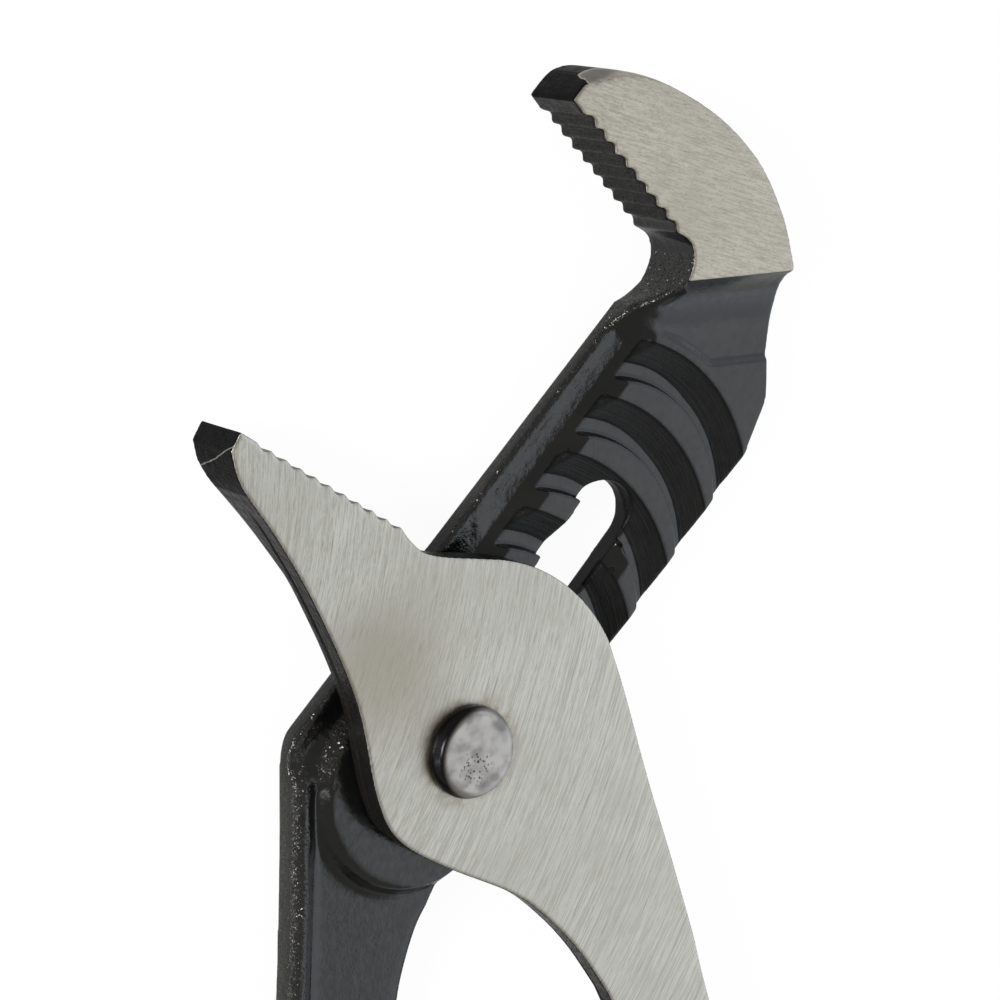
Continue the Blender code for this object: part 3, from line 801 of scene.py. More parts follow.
class Softener:
    """Geometry Nodes tree that rounds a skin as its mark says and gives it its finish."""

    STEPS = "Rounding Steps"
    FINISH = "Finish"

    def __init__(self) -> None:
        """Build the tree."""
        tree = bpy.data.node_groups.new("soften_skin", "GeometryNodeTree")
        face = tree.interface
        face.new_socket("Geometry", in_out="INPUT", socket_type="NodeSocketGeometry")
        self.steps = face.new_socket(self.STEPS, in_out="INPUT", socket_type="NodeSocketInt").identifier
        self.finish = face.new_socket(self.FINISH, in_out="INPUT",
                                      socket_type="NodeSocketMaterial").identifier
        face.new_socket("Geometry", in_out="OUTPUT", socket_type="NodeSocketGeometry")
        nodes = Nodes(tree)
        source = nodes.add("NodeGroupInput").outputs
        place = nodes.add("GeometryNodeInputPosition").outputs[0]
        weight = nodes.add("GeometryNodeInputNamedAttribute", {"Name": Mark.SOFTEN.value},
                           data_type="FLOAT").outputs[0]
        blur = nodes.add("GeometryNodeBlurAttribute", data_type="FLOAT_VECTOR")
        value = next(socket for socket in blur.inputs if socket.enabled and socket.name == "Value")
        nodes.put(value, place)
        nodes.put(blur.inputs["Iterations"], source[self.STEPS])
        nodes.put(blur.inputs["Weight"], weight)
        blurred = next(socket for socket in blur.outputs if socket.enabled)
        moved = nodes.add("GeometryNodeSetPosition", {"Geometry": source["Geometry"],
                                                      "Position": blurred})
        smooth = nodes.add("GeometryNodeSetShadeSmooth", {"Geometry": moved.outputs[0]})
        real = nodes.add("GeometryNodeRealizeInstances", {"Geometry": smooth.outputs[0]})
        dressed = nodes.add("GeometryNodeSetMaterial", {"Geometry": real.outputs[0],
                                                        "Material": source[self.FINISH]})
        nodes.add("NodeGroupOutput", {"Geometry": dressed.outputs[0]})
        self.tree = tree

    def apply(self, thing: bpy.types.Object, steps: int, finish: bpy.types.Material) -> None:
        """Round and dress a skin.

        Args:
            thing: The object, whose mesh holds the rounding mark.
            steps: Number of rounding steps.
            finish: Material for every face.
        """
        layer = thing.modifiers.new("soften", "NODES")
        layer.node_group = self.tree
        layer[self.steps] = steps
        layer[self.finish] = finish
        baked(thing)


@dataclass
class Skin:
    """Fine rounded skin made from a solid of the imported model."""

    name: str
    node: str
    body: Body
    slot: Slot
    voxel: float = 0.2
    rough_voxel: float = 0.3
    steps: int = 60
    limit: int = 190000
    back: float = 5.3

    def marks(self, place: np.ndarray) -> dict[Mark, np.ndarray]:
        """Say how each point is rounded and made, by one row of values for each mark."""
        raise NotImplementedError

    def sculpt(self, place: np.ndarray) -> np.ndarray | None:
        """Return the points after this piece's larger changes of shape, if it has any."""
        return None

    def score(self, place: np.ndarray, facing: np.ndarray) -> np.ndarray | None:
        """Return the points after this piece's fine lines are cut, if it has any."""
        return None

    def remesh(self, thing: bpy.types.Object, voxel: float) -> None:
        """Give an object an even skin of small faces.

        Args:
            thing: The object.
            voxel: Size of the faces.
        """
        layer = thing.modifiers.new("voxels", "REMESH")
        layer.mode = "VOXEL"
        layer.voxel_size = voxel * MM
        baked(thing)

    def lifted(self, mesh: bpy.types.Mesh) -> np.ndarray:
        """Return a mesh's vertices in millimetres, with heights above the back of the jaws."""
        return vertex_places(mesh) - (0.0, 0.0, self.back)

    def lower(self, mesh: bpy.types.Mesh, place: np.ndarray | None) -> None:
        """Write points back to a mesh, if there are any.

        Args:
            mesh: The mesh.
            place: Points with heights above the back of the jaws.
        """
        if place is not None:
            flat = ((place + (0.0, 0.0, self.back)) * MM).astype(np.float32).ravel()
            mesh.vertices.foreach_set("co", flat)
            mesh.update()

    def thin(self, thing: bpy.types.Object) -> None:
        """Keep an object's triangles under the limit.

        Args:
            thing: The object.
        """
        triangles = sum(len(face.vertices) - 2 for face in thing.data.polygons)
        if triangles > self.limit:
            layer = thing.modifiers.new("thin", "DECIMATE")
            layer.ratio = self.limit / triangles
            baked(thing)

    def build(self, frame: dict, softener: Softener, finish: bpy.types.Material) -> bpy.types.Object:
        """Make the skin and let it stand for its solid.

        Args:
            frame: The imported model.
            softener: Tree that rounds the skin.
            finish: Material of the skin.

        Returns:
            The finished piece.
        """
        thing = merged_copy(frame["nodes"][self.node], self.name)
        if type(self).sculpt is not Skin.sculpt:
            self.remesh(thing, self.rough_voxel)
            self.lower(thing.data, self.sculpt(self.lifted(thing.data)))
        self.remesh(thing, self.voxel)
        for mark, values in self.marks(self.lifted(thing.data)).items():
            write_mark(thing.data, mark, values)
        softener.apply(thing, self.steps, finish)
        self.lower(thing.data, self.score(self.lifted(thing.data), vertex_normals(thing.data)))
        self.thin(thing)
        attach(thing, self.body.value)
        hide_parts(self.node)
        LOG.info("%s: %d faces", self.name, len(thing.data.polygons))
        return thing


@dataclass
class SlipJoint:
    """Places of the slot and of the grooves for each setting."""

    angle: float = math.radians(46.4)
    pitch: float = 9.61
    first: int = -1
    last: int = 4
    inner: float = 18.75
    outer: float = 24.5
    floor: float = 3.0
    floor_slack: float = 0.4
    floor_width: float = 2.15
    floor_taper: float = 0.6
    taper_turn: Span = (-0.1, 0.45)
    land: float = 4.6
    pad_left: float = 11.4
    pad_right: float = 14.3
    side_slack: float = 0.3
    ahead_from: float = 9.0
    deepest: float = 0.8

    def along(self, place: np.ndarray) -> np.ndarray:
        """Return distances along the slot from the pivot."""
        return place[:, 0] * math.cos(self.angle) + place[:, 1] * math.sin(self.angle)

    def across(self, place: np.ndarray) -> np.ndarray:
        """Return distances to the left of the slot's centre line."""
        return place[:, 1] * math.cos(self.angle) - place[:, 0] * math.sin(self.angle)

    def ring(self, place: np.ndarray) -> tuple[np.ndarray, np.ndarray]:
        """Find each point's groove.

        Args:
            place: Points in millimetres.

        Returns:
            Distance from the groove's own centre, and distance inside a groove's slanted wall, which is
            negative elsewhere.
        """
        along, across = self.along(place), self.across(place)
        radius = np.zeros(len(place))
        wall = np.full(len(place), NOWHERE)
        sides = np.minimum(self.pad_left + self.side_slack - across, across + self.pad_right)
        sides = np.minimum(sides, place[:, 2] - self.floor + self.floor_slack)
        for setting in range(self.first, self.last + 1):
            ahead = along - setting * self.pitch
            reach = np.hypot(ahead, across)
            taper = self.floor_taper * fade(np.arctan2(across, ahead), self.taper_turn)
            start = self.inner + self.floor_width - taper
            depth = np.minimum(np.minimum(reach - start, self.outer - reach), sides)
            depth = np.where(ahead > self.ahead_from, np.minimum(depth, self.deepest), NOWHERE)
            radius = np.where(depth > wall, reach, radius)
            wall = np.maximum(wall, depth)
        return radius, wall


@dataclass(frozen=True)
class Shoulder:
    """Sizes of the forged valley between the boss, the neck's shelf and the handle's rim."""

    boss_centre: Point = (-4.63, -6.08)
    boss_radius: float = 13.5
    boss_fall: float = 1.45
    boss_reach: float = 19.0
    boss_blend: float = 0.35
    neck_end: Span = (-13.0, 0.0)
    crest: float = 10.1
    crest_spread: float = 2.3
    foot: float = 14.25
    foot_spread: float = 1.5
    trough: float = 2.0
    channel: float = 2.9
    flank_width: float = 1.8
    flank_blend: float = 0.5
    shelf: float = 2.95
    shelf_start: float = 17.6
    shelf_spread: float = 1.2
    neck_round: float = 1.2
    web: float = 2.4
    web_blend: float = 0.4
    saddle_ease: float = 0.3
    saddle_span: Span = (-16.0, -6.0)
    rim_top: float = 4.2
    rim_rise: float = 2.0
    rim_round: float = 2.1
    rim_fall: float = 0.9
    handle_span: Span = (-3.6, -0.2)
    left_edge: Line = ((30.7, 56.5), (-20.6, 5.7), (-21.65, 4.72), (-22.5, 3.6), (-23.03, 2.25),
                       (-23.3, 0.8), (-23.45, -1.5), (-23.5, -4.0), (-23.8, -18.0), (-24.65, -36.0),
                       (-26.3, -50.0), (-27.0, -62.0))

    def neck(self, along: np.ndarray, across: np.ndarray, edge: np.ndarray, land: float) -> np.ndarray:
        """Shape the flank beside the grooves and the shelf at its foot.

        Args:
            along: Distances along the slot.
            across: Distances to the left of the slot.
            edge: Distances from the left-hand edge.
            land: Height of the lands between the grooves.

        Returns:
            The heights on the neck.
        """
        down = fade(along, self.neck_end)
        crest = self.crest + self.crest_spread * down
        foot = self.foot + self.foot_spread * down
        bend = crest + self.flank_width
        steep = land - (land - self.channel) * (across - crest) / self.flank_width
        shallow = self.channel - (self.channel - self.trough) * (across - bend) / (foot - bend)
        flank = np.where(across < bend, steep, shallow)
        rise = self.shelf_start - foot + self.shelf_spread * down
        shelf = self.trough + (self.shelf - self.trough) * (across - foot) / rise
        shelf = np.minimum(shelf, self.shelf)
        return larger(flank, shelf, self.flank_blend) - rounding(edge, self.neck_round)

    def height(self, place: np.ndarray, joint: SlipJoint) -> np.ndarray:
        """Shape the whole valley.

        Args:
            place: Points in millimetres.
            joint: Places of the slot and the grooves.

        Returns:
            One height for each point.
        """
        y = place[:, 1]
        edge = edge_gap(place, self.left_edge)
        neck = self.neck(joint.along(place), joint.across(place), edge, joint.land)
        from_boss = centre_gap(place, self.boss_centre)
        gentle = 1.0 - self.saddle_ease * ease(y, self.saddle_span)
        boss = joint.land - self.boss_fall * gentle * (from_boss - self.boss_radius)
        rim = self.rim_top - self.rim_fall * gentle * np.clip(edge - self.rim_round, 0.0, None)
        rim -= rounding(edge, self.rim_round) * (self.rim_rise / self.rim_round)
        rim = larger(rim, np.full(len(place), self.web), self.web_blend)
        handle = np.where(from_boss < self.boss_reach, larger(rim, boss, self.boss_blend), rim)
        return np.minimum(blended(neck, handle, fade(y, self.handle_span)), joint.land)


@dataclass(frozen=True)
class Throat:
    """Sizes of the edge that rises from the neck's shelf to the ground face of the upper jaw."""

    edge: Line = ((26.0, 51.85), (30.7, 56.5), (32.5, 57.25), (35.0, 58.95), (36.2, 60.9),
                  (36.75, 62.9))
    start: Point = (29.3, 54.0)
    way: Point = (0.745, 0.667)
    rise: Line = ((-1.0, 2.9), (0.0, 2.95), (1.76, 4.4), (3.2, 4.78), (4.3, 6.0), (5.2, 6.7),
                  (6.7, 7.7), (8.2, 9.9))
    width: Span = (4.5, 6.5)
    edge_round: float = 0.5
    pocket_top: float = 4.75
    pocket_gap: Span = (1.4, 2.8)
    reach: Span = (-0.5, 8.2)
    lowest: float = 1.9
    furthest: float = 62.0

    def raised(self, place: np.ndarray, height: np.ndarray, shelf: float) -> np.ndarray:
        """Raise the throat's edge.

        Args:
            place: Points before the change.
            height: Their heights so far.
            shelf: Height of the neck's shelf.

        Returns:
            The new heights.
        """
        x, y, z = place.T
        way = (x - self.start[0]) * self.way[0] + (y - self.start[1]) * self.way[1]
        rows = np.array(self.rise)
        gap = edge_gap(place, self.edge)
        rise = np.interp(way, rows[:, 0], rows[:, 1])
        rise = np.minimum(rise, rise + (self.pocket_top - rise) * ease(gap, self.pocket_gap))
        rise = rise - rounding(gap, self.edge_round)
        raised = shelf + (rise - shelf) * (1.0 - ease(gap, self.width))
        zone = ((way > self.reach[0]) & (way < self.reach[1]) & (gap < self.width[1])
                & (z > self.lowest) & (y < self.furthest))
        return np.where(zone, np.maximum(height, raised), height)


@dataclass(frozen=True)
class JawBevel:
    """Sizes of the ground bevel along the back of the upper jaw's tip."""

    back: Line = ((47.8, 75.5), (40.6, 82.0), (36.0, 84.75), (31.0, 87.0), (27.5, 88.2), (24.0, 88.8),
                  (22.2, 88.95), (20.5, 88.6), (18.5, 87.4))
    widths: Line = ((18.2, 0.1), (19.0, 0.5), (20.5, 1.1), (22.0, 1.3), (25.5, 0.7), (29.0, 0.35),
                    (34.0, 0.0))
    fall: float = 2.2
    above: float = 80.0
    face: float = 10.0
    bare_slack: float = 0.05
    bare_left: float = 18.9
    bare_drop: float = 1.5
    bare_slope: float = 0.5
    bare_least: float = 0.1
    bare_fade: Span = (20.0, 26.0)
    bare_loss: float = 0.9

    def short(self, place: np.ndarray) -> np.ndarray:
        """Return distances inside the bevel, negative outside it."""
        rows = np.array(self.widths)
        return np.interp(place[:, 0], rows[:, 0], rows[:, 1]) - edge_gap(place, self.back)

    def cut(self, place: np.ndarray, height: np.ndarray) -> np.ndarray:
        """Cut the bevel.

        Args:
            place: Points before the change.
            height: Their heights so far.

        Returns:
            The new heights.
        """
        short = self.short(place)
        lowered = np.minimum(height, place[:, 2].max() - self.fall * short)
        return np.where((short > 0.0) & (place[:, 1] > self.above), lowered, height)

    def bare(self, place: np.ndarray) -> np.ndarray:
        """Say where the bevel is bare steel.

        Args:
            place: Points in millimetres.

        Returns:
            Distances inside the bare steel, negative elsewhere.
        """
        x, y, z = place.T
        low = (z - self.face + self.fall * self.bare_drop) * self.bare_slope
        bare = np.minimum(np.minimum(self.short(place) + self.bare_slack, x - self.bare_left), low)
        shown = self.bare_least + bare * (1.0 - self.bare_loss * ease(x, self.bare_fade))
        return np.where(y > self.above, np.where(bare > 0.0, shown, bare), NOWHERE)


@dataclass(frozen=True)
class RearRounding:
    """How well the edges of the rear half are rounded."""

    neck: float = 0.06
    handle: float = 0.2
    least: float = 0.015
    pad: float = 0.012
    crisp: float = 0.008
    handle_below: Span = (-4.0, 4.0)
    handle_along: Span = (-6.0, 2.0)
    back_span: Span = (0.5, 1.6)
    pocket: float = 0.5
    pocket_centre: Point = (32.6, 54.6)
    pocket_reach: Span = (1.8, 3.4)
    pocket_above: Span = (2.0, 2.6)
    face_span: Span = (9.0, 9.5)
    jaw_slope: float = 0.3
    jaw_span: Span = (50.0, 54.0)
    jaw_share: float = 0.9

    def weight(self, place: np.ndarray, along: np.ndarray, pad: np.ndarray) -> np.ndarray:
        """Weigh the rounding.

        Args:
            place: Points in millimetres.
            along: Distances along the slot.
            pad: 1 on the milled pad and 0 elsewhere.

        Returns:
            One weight for each point.
        """
        x, y, z = place.T
        handle = fade(y, self.handle_below) * fade(along, self.handle_along)
        soften = np.maximum(self.neck, self.handle * handle) * ease(z, self.back_span)
        pocket = fade(centre_gap(place, self.pocket_centre), self.pocket_reach)
        pocket *= ease(z, self.pocket_above)
        soften = np.maximum(soften + self.least, self.pocket * pocket)
        soften = blended(soften, self.pad, pad)
        jaw = ease(y - x * self.jaw_slope, self.jaw_span) * self.jaw_share
        return blended(soften, self.crisp, np.maximum(ease(z, self.face_span), jaw))


@dataclass(frozen=True)
class RearForging:
    """How rough the forging is left on each part of the rear half; the roughest parts also get a
    painted sheen.
    """

    plain: float = 0.55
    most: float = 0.45
    rim_gap: Span = (2.4, 3.0)
    rim_below: Span = (4.0, 7.0)
    edge: float = 0.75
    edge_reach: Span = (0.6, 1.0)
    shelf: float = 0.25
    shelf_above: Span = (1.0, 4.0)
    shelf_across: Span = (12.5, 13.2)
    shelf_top: Span = (3.2, 3.6)
    saddle_from: Span = (13.2, 13.7)
    saddle_to: Span = (15.2, 16.2)
    saddle_above: Span = (-10.0, -7.0)
    throat: float = 2.0
    throat_gap: Span = (0.4, 0.7)
    teeth: float = 1.9
    teeth_top: Span = (9.2, 9.6)
    teeth_end: Span = (80.0, 81.0)

    def share(self, place: np.ndarray, half: RearHalf, bite: np.ndarray) -> np.ndarray:
        """Say how rough each point is.

        Args:
            place: Points in millimetres.
            half: The rear half.
            bite: 1 beside the teeth and 0 elsewhere.

        Returns:
            The roughness, from 0 on a plain surface.
        """
        x, y, z = place.T
        edge = edge_gap(place, half.shoulder.left_edge)
        rim = fade(edge, self.rim_gap) * fade(y, self.rim_below)
        shelf = ease(y, self.shelf_above) * ease(half.joint.across(place), self.shelf_across)
        shelf = shelf * fade(z, self.shelf_top)
        ring = centre_gap(place, half.shoulder.boss_centre)
        saddle = ease(ring, self.saddle_from) * fade(ring, self.saddle_to) * ease(y, self.saddle_above)
        throat = fade(edge_gap(place, half.throat.edge), self.throat_gap)
        teeth = bite * fade(z, self.teeth_top) * fade(y - half.tip_slope * x, self.teeth_end)
        rough = (rim, self.edge * fade(edge, self.edge_reach), self.shelf * shelf, saddle,
                 self.throat * throat, self.teeth * teeth)
        return np.maximum.reduce(rough)


@dataclass
class RearHalf(Skin):
    """Half with the upper jaw, the slotted neck and the left-hand handle."""

    name: str = "rear_half_skin"
    node: str = "rear_half"
    body: Body = Body.REAR
    slot: Slot = Slot.BLACK
    joint: SlipJoint = field(default_factory=SlipJoint)
    shoulder: Shoulder = Shoulder()
    throat: Throat = Throat()
    jaw_bevel: JawBevel = JawBevel()
    soft: RearRounding = RearRounding()
    forging: RearForging = RearForging()
    neck_from: float = -3.0
    valley_slack: float = 0.05
    valley_lowest: float = 1.0
    valley_end: float = 30.0
    valley_bottom: float = -44.0
    valley_right: float = 6.0
    valley_left: float = 9.0
    valley_sweep: float = 40.0
    sweep_span: Span = (-6.0, -2.0)
    handle_blend: Span = (-46.0, -42.0)
    shelf_across: float = 12.0
    shelf_slack: float = 0.1
    wall_gap: float = 0.3
    wall_top: float = 1.8
    groove_from: float = 6.0
    head_swell: float = 0.8
    swell_right: Span = (48.0, 53.0)
    swell_from: Span = (46.0, 52.0)
    swell_to: Span = (54.0, 59.5)
    pad_spread: Span = (-0.2, 0.6)
    pad_start: Span = (-22.0, -18.0)
    pad_end: Span = (48.0, 52.0)
    bite_slope: float = 0.62
    bite_span: Span = (46.0, 50.0)
    bite_half: float = 0.5
    cut_pitch: float = 1.3
    tip_slope: float = 0.2
    tip_span: Span = (81.2, 81.9)

    def sculpt(self, place: np.ndarray) -> np.ndarray:
        """Shape the valley at the shoulder, the throat and the head.

        Args:
            place: Points in millimetres.

        Returns:
            The moved points.
        """
        x, y, z = place.T
        joint, shoulder = self.joint, self.shoulder
        along, across = joint.along(place), joint.across(place)
        neck = y > self.neck_from
        from_boss = centre_gap(place, shoulder.boss_centre)
        outside = np.where(neck, across - shoulder.crest, from_boss - shoulder.boss_radius)
        left = self.valley_left - self.valley_sweep * fade(y, self.sweep_span)
        zone = ((z > self.valley_lowest) & (outside > -self.valley_slack) & (along < self.valley_end)
                & (y > self.valley_bottom) & (x < self.valley_right) & (across > left))
        upper = ((along >= self.valley_end) & (across > self.shelf_across) & (z > self.valley_lowest)
                 & (z < shoulder.shelf + self.shelf_slack))
        wall = (edge_gap(place, shoulder.left_edge) < self.wall_gap) | (z < self.wall_top)
        grooved = neck & (across < joint.pad_left + joint.side_slack) & (along > self.groove_from)
        shaped = shoulder.height(place, joint)
        shaped = np.where(wall | grooved, np.minimum(shaped, z), shaped)
        height = np.where(zone, blended(z, shaped, ease(y, self.handle_blend)), z)
        height = np.where(upper, np.minimum(shaped, z), height)
        swell = self.head_swell * ease(x, self.swell_right)
        swell = swell * ease(y, self.swell_from) * fade(y, self.swell_to)
        height = self.jaw_bevel.cut(place, self.throat.raised(place, height, shoulder.shelf))
        return np.column_stack((x + swell, y, height))

    def marks(self, place: np.ndarray) -> dict[Mark, np.ndarray]:
        """Round the handle and neck well, and keep the ribs, the teeth and the ground face crisp.

        Args:
            place: Points in millimetres.

        Returns:
            One row of values for each mark.
        """
        x, y, _ = place.T
        joint = self.joint
        along = joint.along(place)
        pad = fade(joint.across(place), around(joint.pad_left, self.pad_spread))
        pad = pad * ease(along, self.pad_start) * fade(y, self.pad_end)
        bite = ease(y - self.bite_slope * x, self.bite_span)
        radius, wall = joint.ring(place)
        radius = np.where(bite > self.bite_half, y * self.cut_pitch, radius)
        wall = np.maximum(wall, bite - self.bite_half + ease(y - self.tip_slope * x, self.tip_span))
        rough = self.forging.share(place, self, bite)
        # Forged values above 0.75 (rim, throat, teeth, edges) also get the black finish's painted
        # sheen.
        forged = (1.0 - pad) * (self.forging.plain + self.forging.most * rough)
        return {Mark.SOFTEN: self.soft.weight(place, along, pad), Mark.FORGED: forged,
                Mark.RING: radius, Mark.MILLED: wall, Mark.BARE: self.jaw_bevel.bare(place)}


@dataclass
class FrontHalf(Skin):
    """Half with the lower jaw, the round joint plate and the right-hand handle."""

    name: str = "front_half_skin"
    node: str = "front_half"
    body: Body = Body.FRONT
    slot: Slot = Slot.GROUND
    parting_height: float = 7.0
    parting_width: float = 0.22
    parting_depth: float = 0.22
    parting_steep: Span = (0.5, 0.9)
    parting_lean: float = 0.4
    parting_side: Span = (0.0, 0.4)
    parting_end: Span = (48.0, 53.0)
    soft_front: float = 0.03
    soft_back: float = 0.08
    soft_below: Span = (6.0, 7.5)
    soft_above: Span = (0.5, 1.6)
    soft_crisp: float = 0.008
    face_span: Span = (9.0, 9.5)
    tip_slope: float = 0.5
    tip_span: Span = (52.0, 56.0)
    tip_share: float = 0.9
    tip_milled: Span = (-0.5, 2.0)
    tip_crease: Line = ((41.0, 0.5), (42.55, 5.0), (45.0, 10.0))
    tip_left: float = -33.6
    no_crease: float = 5.0
    # The arm's forged value, up to 0.95, also brings part of the black finish's painted sheen.
    forged_arm: float = 0.7
    forged_plate: float = 0.25
    plate_below: Span = (12.0, 24.0)
    cut_pitch: float = 1.3
    bite_line: Line = ((-31.0, 44.7), (-9.5, 31.0))
    notch: float = 1.4
    notch_floor: float = 7.0
    notch_slope: float = 0.5

    def score(self, place: np.ndarray, facing: np.ndarray) -> np.ndarray:
        """Cut the parting line of the forging into the left-hand edge.

        Args:
            place: Points in millimetres.
            facing: The points' normals.

        Returns:
            The moved points.
        """
        side = -facing[:, 0] - self.parting_lean * facing[:, 1]
        wall = ease(1.0 - np.abs(facing[:, 2]), self.parting_steep) * ease(side, self.parting_side)
        wall *= 1.0 - ease(place[:, 1] - self.tip_slope * place[:, 0], self.parting_end)
        line = np.exp(-((place[:, 2] - self.parting_height) / self.parting_width) ** 2)
        return place - facing * (self.parting_depth * wall * line)[:, None]

    def marks(self, place: np.ndarray) -> dict[Mark, np.ndarray]:
        """Round the back edges well, and keep the ground face, the tip and the teeth crisp.

        Args:
            place: Points in millimetres.

        Returns:
            One row of values for each mark.
        """
        x, y, z = place.T
        soften = self.soft_front + self.soft_back * fade(z, self.soft_below) * ease(z, self.soft_above)
        tip = ease(y - self.tip_slope * x, self.tip_span)
        crisp = np.maximum(ease(z, self.face_span), tip * self.tip_share)
        bend = np.array(self.tip_crease)
        crease = np.where(x < self.tip_left, y - np.interp(z, bend[:, 1], bend[:, 0]), self.no_crease)
        notch = np.minimum(self.notch - edge_gap(place, self.bite_line),
                           self.notch_slope * (z - self.notch_floor))
        return {Mark.SOFTEN: blended(soften, self.soft_crisp, crisp),
                Mark.FORGED: self.forged_arm + self.forged_plate * fade(y, self.plate_below),
                Mark.RING: y * self.cut_pitch,
                Mark.MILLED: self.tip_milled[1] * tip + self.tip_milled[0],
                Mark.BARE: notch, Mark.CREASE: crease}


@dataclass
class Grip(Skin):
    """Dipped sleeve over the outer part of a handle."""

    slot: Slot = Slot.DIPPED
    voxel: float = 0.6
    steps: int = 24
    soft: float = 0.8

    def marks(self, place: np.ndarray) -> dict[Mark, np.ndarray]:
        """Round the whole sleeve."""
        return {Mark.SOFTEN: np.full(len(place), self.soft)}


@dataclass
class PivotPart(Skin):
    """Turned or six-sided part of the pivot."""

    body: Body = Body.PIVOT
    slot: Slot = Slot.PIVOT
    voxel: float = 0.16
    steps: int = 8
    soft: float = 0.4

    def marks(self, place: np.ndarray) -> dict[Mark, np.ndarray]:
        """Break the edges a little."""
        return {Mark.SOFTEN: np.full(len(place), self.soft)}


@dataclass
class PivotBolt(PivotPart):
    """Pivot whose low head has a rounded edge."""

    head_radius: float = 6.1
    head_top: float = 12.3
    head_round: float = 1.0
    face: float = 10.0

    def sculpt(self, place: np.ndarray) -> np.ndarray:
        """Lower the head and round its edge.

        Args:
            place: Points in millimetres.

        Returns:
            The moved points.
        """
        x, y, z = place.T
        top = self.head_top - rounding(self.head_radius - np.hypot(x, y), self.head_round)
        share = np.clip((z - self.face) / (z.max() - self.face), 0.0, 1.0)
        height = np.where(z > self.face, self.face + (top - self.face) * share, z)
        return np.column_stack((x, y, height))


@dataclass
class Viewpoint:
    """Camera at the photograph's angle."""

    place: Place = (-230.355, 121.645, 355.122)
    right: Place = (0.82242509, 0.00214134, 0.5688694)
    down: Place = (-0.11699351, -0.97798027, 0.17282101)
    ahead: Place = (0.55671312, -0.20868636, -0.80406499)
    lens: float = 115.83
    sensor: float = 36.0
    clip: Span = (0.01, 50.0)

    def build(self) -> bpy.types.Object:
        """Make the camera the scene's own.

        Returns:
            The camera.
        """
        data = bpy.data.cameras.new("camera")
        data.lens = self.lens
        data.sensor_width = self.sensor
        data.clip_start, data.clip_end = self.clip
        camera = bpy.data.objects.new("camera", data)
        axes = (Vector(self.right), -Vector(self.down), -Vector(self.ahead))
        turn = Matrix(axes).transposed().to_4x4()
        camera.matrix_world = Matrix.Translation(Vector(self.place) * MM) @ turn
        bpy.context.scene.collection.objects.link(camera)
        bpy.context.scene.camera = camera
        return camera


@dataclass
class Lamp:
    """Soft lamp that points at the tool."""

    name: str
    place: Place
    size: float
    power: float
    aim: Place = (0.0, 0.02, 0.0)

    def build(self) -> bpy.types.Object:
        """Make the lamp.

        Returns:
            The lamp.
        """
        data = bpy.data.lights.new(self.name, "AREA")
        data.shape = "DISK"
        data.size = self.size
        data.energy = self.power
        lamp = bpy.data.objects.new(self.name, data)
        lamp.location = self.place
        way = Vector(self.aim) - Vector(self.place)
        lamp.rotation_euler = way.to_track_quat("-Z", "Y").to_euler()
        bpy.context.scene.collection.objects.link(lamp)
        return lamp


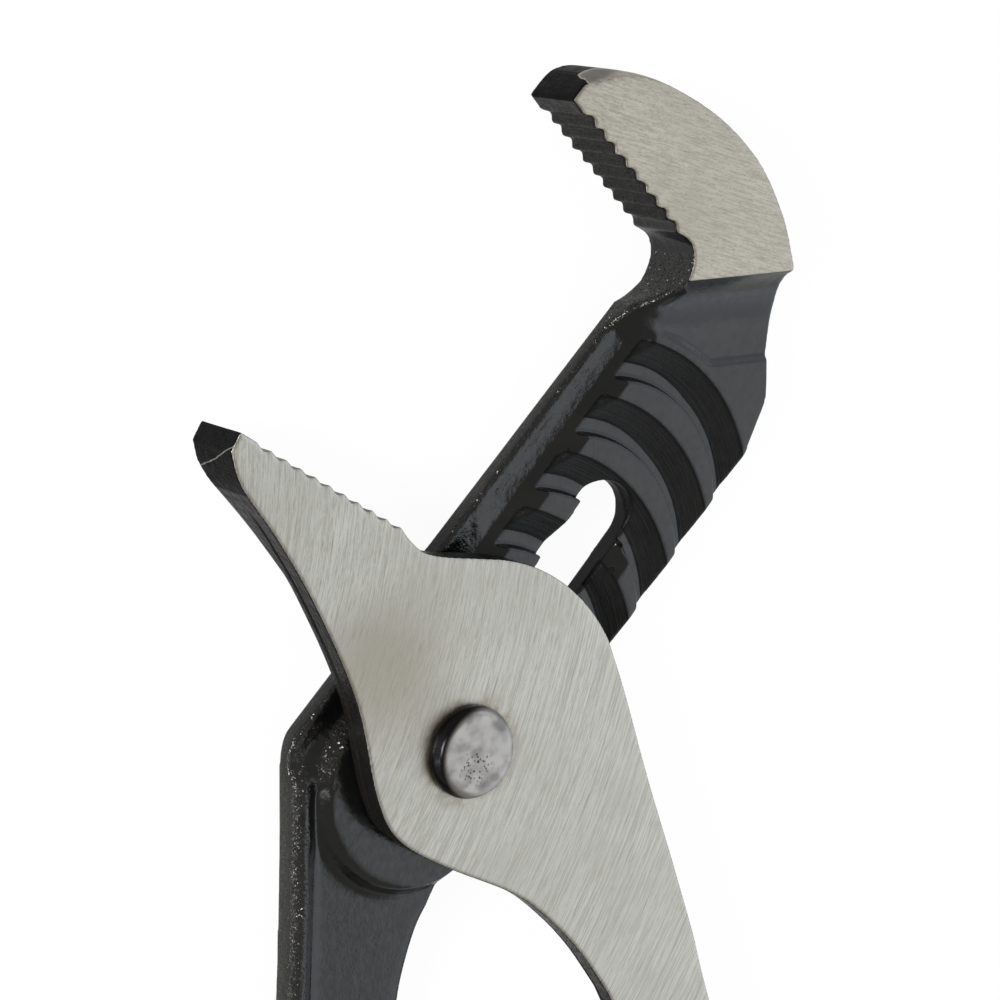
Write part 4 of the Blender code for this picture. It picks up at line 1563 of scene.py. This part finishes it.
@dataclass
class Studio:
    """Pale floor, soft lamps and a white surrounding that is dim on the left."""

    floor_size: float = 6.0
    floor_drop: float = 0.0003
    floor_colour: Colour = (0.66, 0.66, 0.66)
    floor_shade: Colour = (0.63, 0.63, 0.63)
    floor_cloud: Noise = Noise(3.0)
    cloud_span: Span = (0.3, 0.7)
    cloud_share: float = 0.05
    wash: float = 0.95
    shadow_share: float = 0.08
    sheen: float = 0.15
    bright_way: Place = (1.0, 0.0, 0.0)
    bright_span: Span = (0.38, 0.54)
    dim: Colour = (0.35, 0.34, 0.32)
    bright: Colour = (1.08, 1.16, 1.24)
    lamps: tuple[Lamp, ...] = (
        Lamp("key_lamp", (0.55, -0.25, 0.80), 0.7, 0.5),
        Lamp("spark_lamp", (-0.64, 0.12, 0.40), 0.25, 4.0),
        Lamp("low_lamp", (-0.72, -0.24, 0.10), 0.12, 0.45),
    )

    def floor_material(self) -> bpy.types.Material:
        """Make the floor's finish, white to the camera apart from a faint shadow.

        Returns:
            The material.
        """
        material, nodes = new_material("pale_floor")
        cloud = nodes.noise(nodes.add("ShaderNodeTexCoord").outputs["Object"], self.floor_cloud)
        cloud = nodes.remap(cloud, self.cloud_span, (0.0, self.cloud_share))
        tone = nodes.mix(cloud, self.floor_colour, self.floor_shade)
        seen = nodes.seen()
        tone = nodes.mix(seen, tone, (self.shadow_share,) * 3)
        plain = nodes.add("ShaderNodeBsdfDiffuse", {"Color": tone})
        glossy = nodes.add("ShaderNodeLightPath").outputs["Is Glossy Ray"]
        level = nodes.math("MAXIMUM", nodes.times(seen, self.wash), nodes.times(glossy, self.sheen))
        white = nodes.add("ShaderNodeEmission", {"Color": (*WHITE, 1.0), "Strength": level})
        both = nodes.add("ShaderNodeAddShader", {0: plain.outputs[0], 1: white.outputs[0]})
        close_material(nodes, both.outputs[0])
        return material

    def floor(self) -> bpy.types.Object:
        """Make the floor.

        Returns:
            The floor.
        """
        half = self.floor_size / 2
        mesh = bpy.data.meshes.new("floor")
        corners = [(-half, -half), (half, -half), (half, half), (-half, half)]
        mesh.from_pydata([(x, y, -self.floor_drop) for x, y in corners], [], [(0, 1, 2, 3)])
        mesh.materials.append(self.floor_material())
        floor = bpy.data.objects.new("floor", mesh)
        bpy.context.scene.collection.objects.link(floor)
        return floor

    def surroundings(self) -> None:
        """Make the world: white to the camera, and dim on the left for light and reflections."""
        world = bpy.data.worlds.new("studio")
        world.use_nodes = True
        world.node_tree.nodes.clear()
        nodes = Nodes(world.node_tree)
        way = nodes.add("ShaderNodeTexCoord").outputs["Generated"]
        bright = nodes.vector("DOT_PRODUCT", way, self.bright_way)
        level = nodes.mix(nodes.remap(bright, self.bright_span), self.dim, self.bright)
        tone = nodes.mix(nodes.seen(), level, WHITE)
        back = nodes.add("ShaderNodeBackground", {"Color": tone, "Strength": 1.0})
        nodes.add("ShaderNodeOutputWorld", {"Surface": back.outputs[0]})
        bpy.context.scene.world = world

    def build(self) -> None:
        """Make everything that isn't the tool."""
        self.floor()
        self.surroundings()
        for lamp in self.lamps:
            lamp.build()
        bpy.context.scene.view_settings.view_transform = "Standard"


GROUND_DEPTH = 0.15
# Width of the painted glint line along the lower tip's crease.
TIP_PAINTED_GLINT_WIDTH = 0.11
BLACK = BlackFinish()
ARM_BLACK = BlackFinish(shine=0.08)
JAW_STEEL = GroundSteel(grain_centre=(327.0, 1031.0), stroke=5.0, colour=(0.515, 0.478, 0.408),
                        shade=(0.345, 0.313, 0.257))
PLATE_STEEL = GroundSteel(grain_centre=(-100.0, 45.0), stroke=16.0, stained=1.0)


def main() -> None:
    """Dress the pliers and set up the studio."""
    logging.basicConfig(level=logging.INFO, format="%(name)s: %(message)s")
    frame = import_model()
    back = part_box("rear_half")[0][2] / MM
    ground_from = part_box("rear_half")[1][2] / MM - GROUND_DEPTH
    softener = Softener()
    rear = GroundForging("rear_forging", JAW_STEEL, BLACK, ground_from)
    front = GroundForging("front_forging", PLATE_STEEL, ARM_BLACK, ground_from, TIP_PAINTED_GLINT_WIDTH)
    pivot, dipped = PivotSteel().material(), DippedGrip().material()
    RearHalf(back=back).build(frame, softener, rear.material())
    FrontHalf(back=back).build(frame, softener, front.material())
    PivotBolt("pivot_bolt_skin", "pivot_bolt", back=back).build(frame, softener, pivot)
    PivotPart("pivot_nut_skin", "pivot_nut", back=back).build(frame, softener, pivot)
    Grip("rear_grip_skin", "rear_grip", Body.REAR, back=back).build(frame, softener, dipped)
    Grip("front_grip_skin", "front_grip", Body.FRONT, back=back).build(frame, softener, dipped)
    Studio().build()
    Viewpoint().build()


if __name__ == "__main__":
    main()
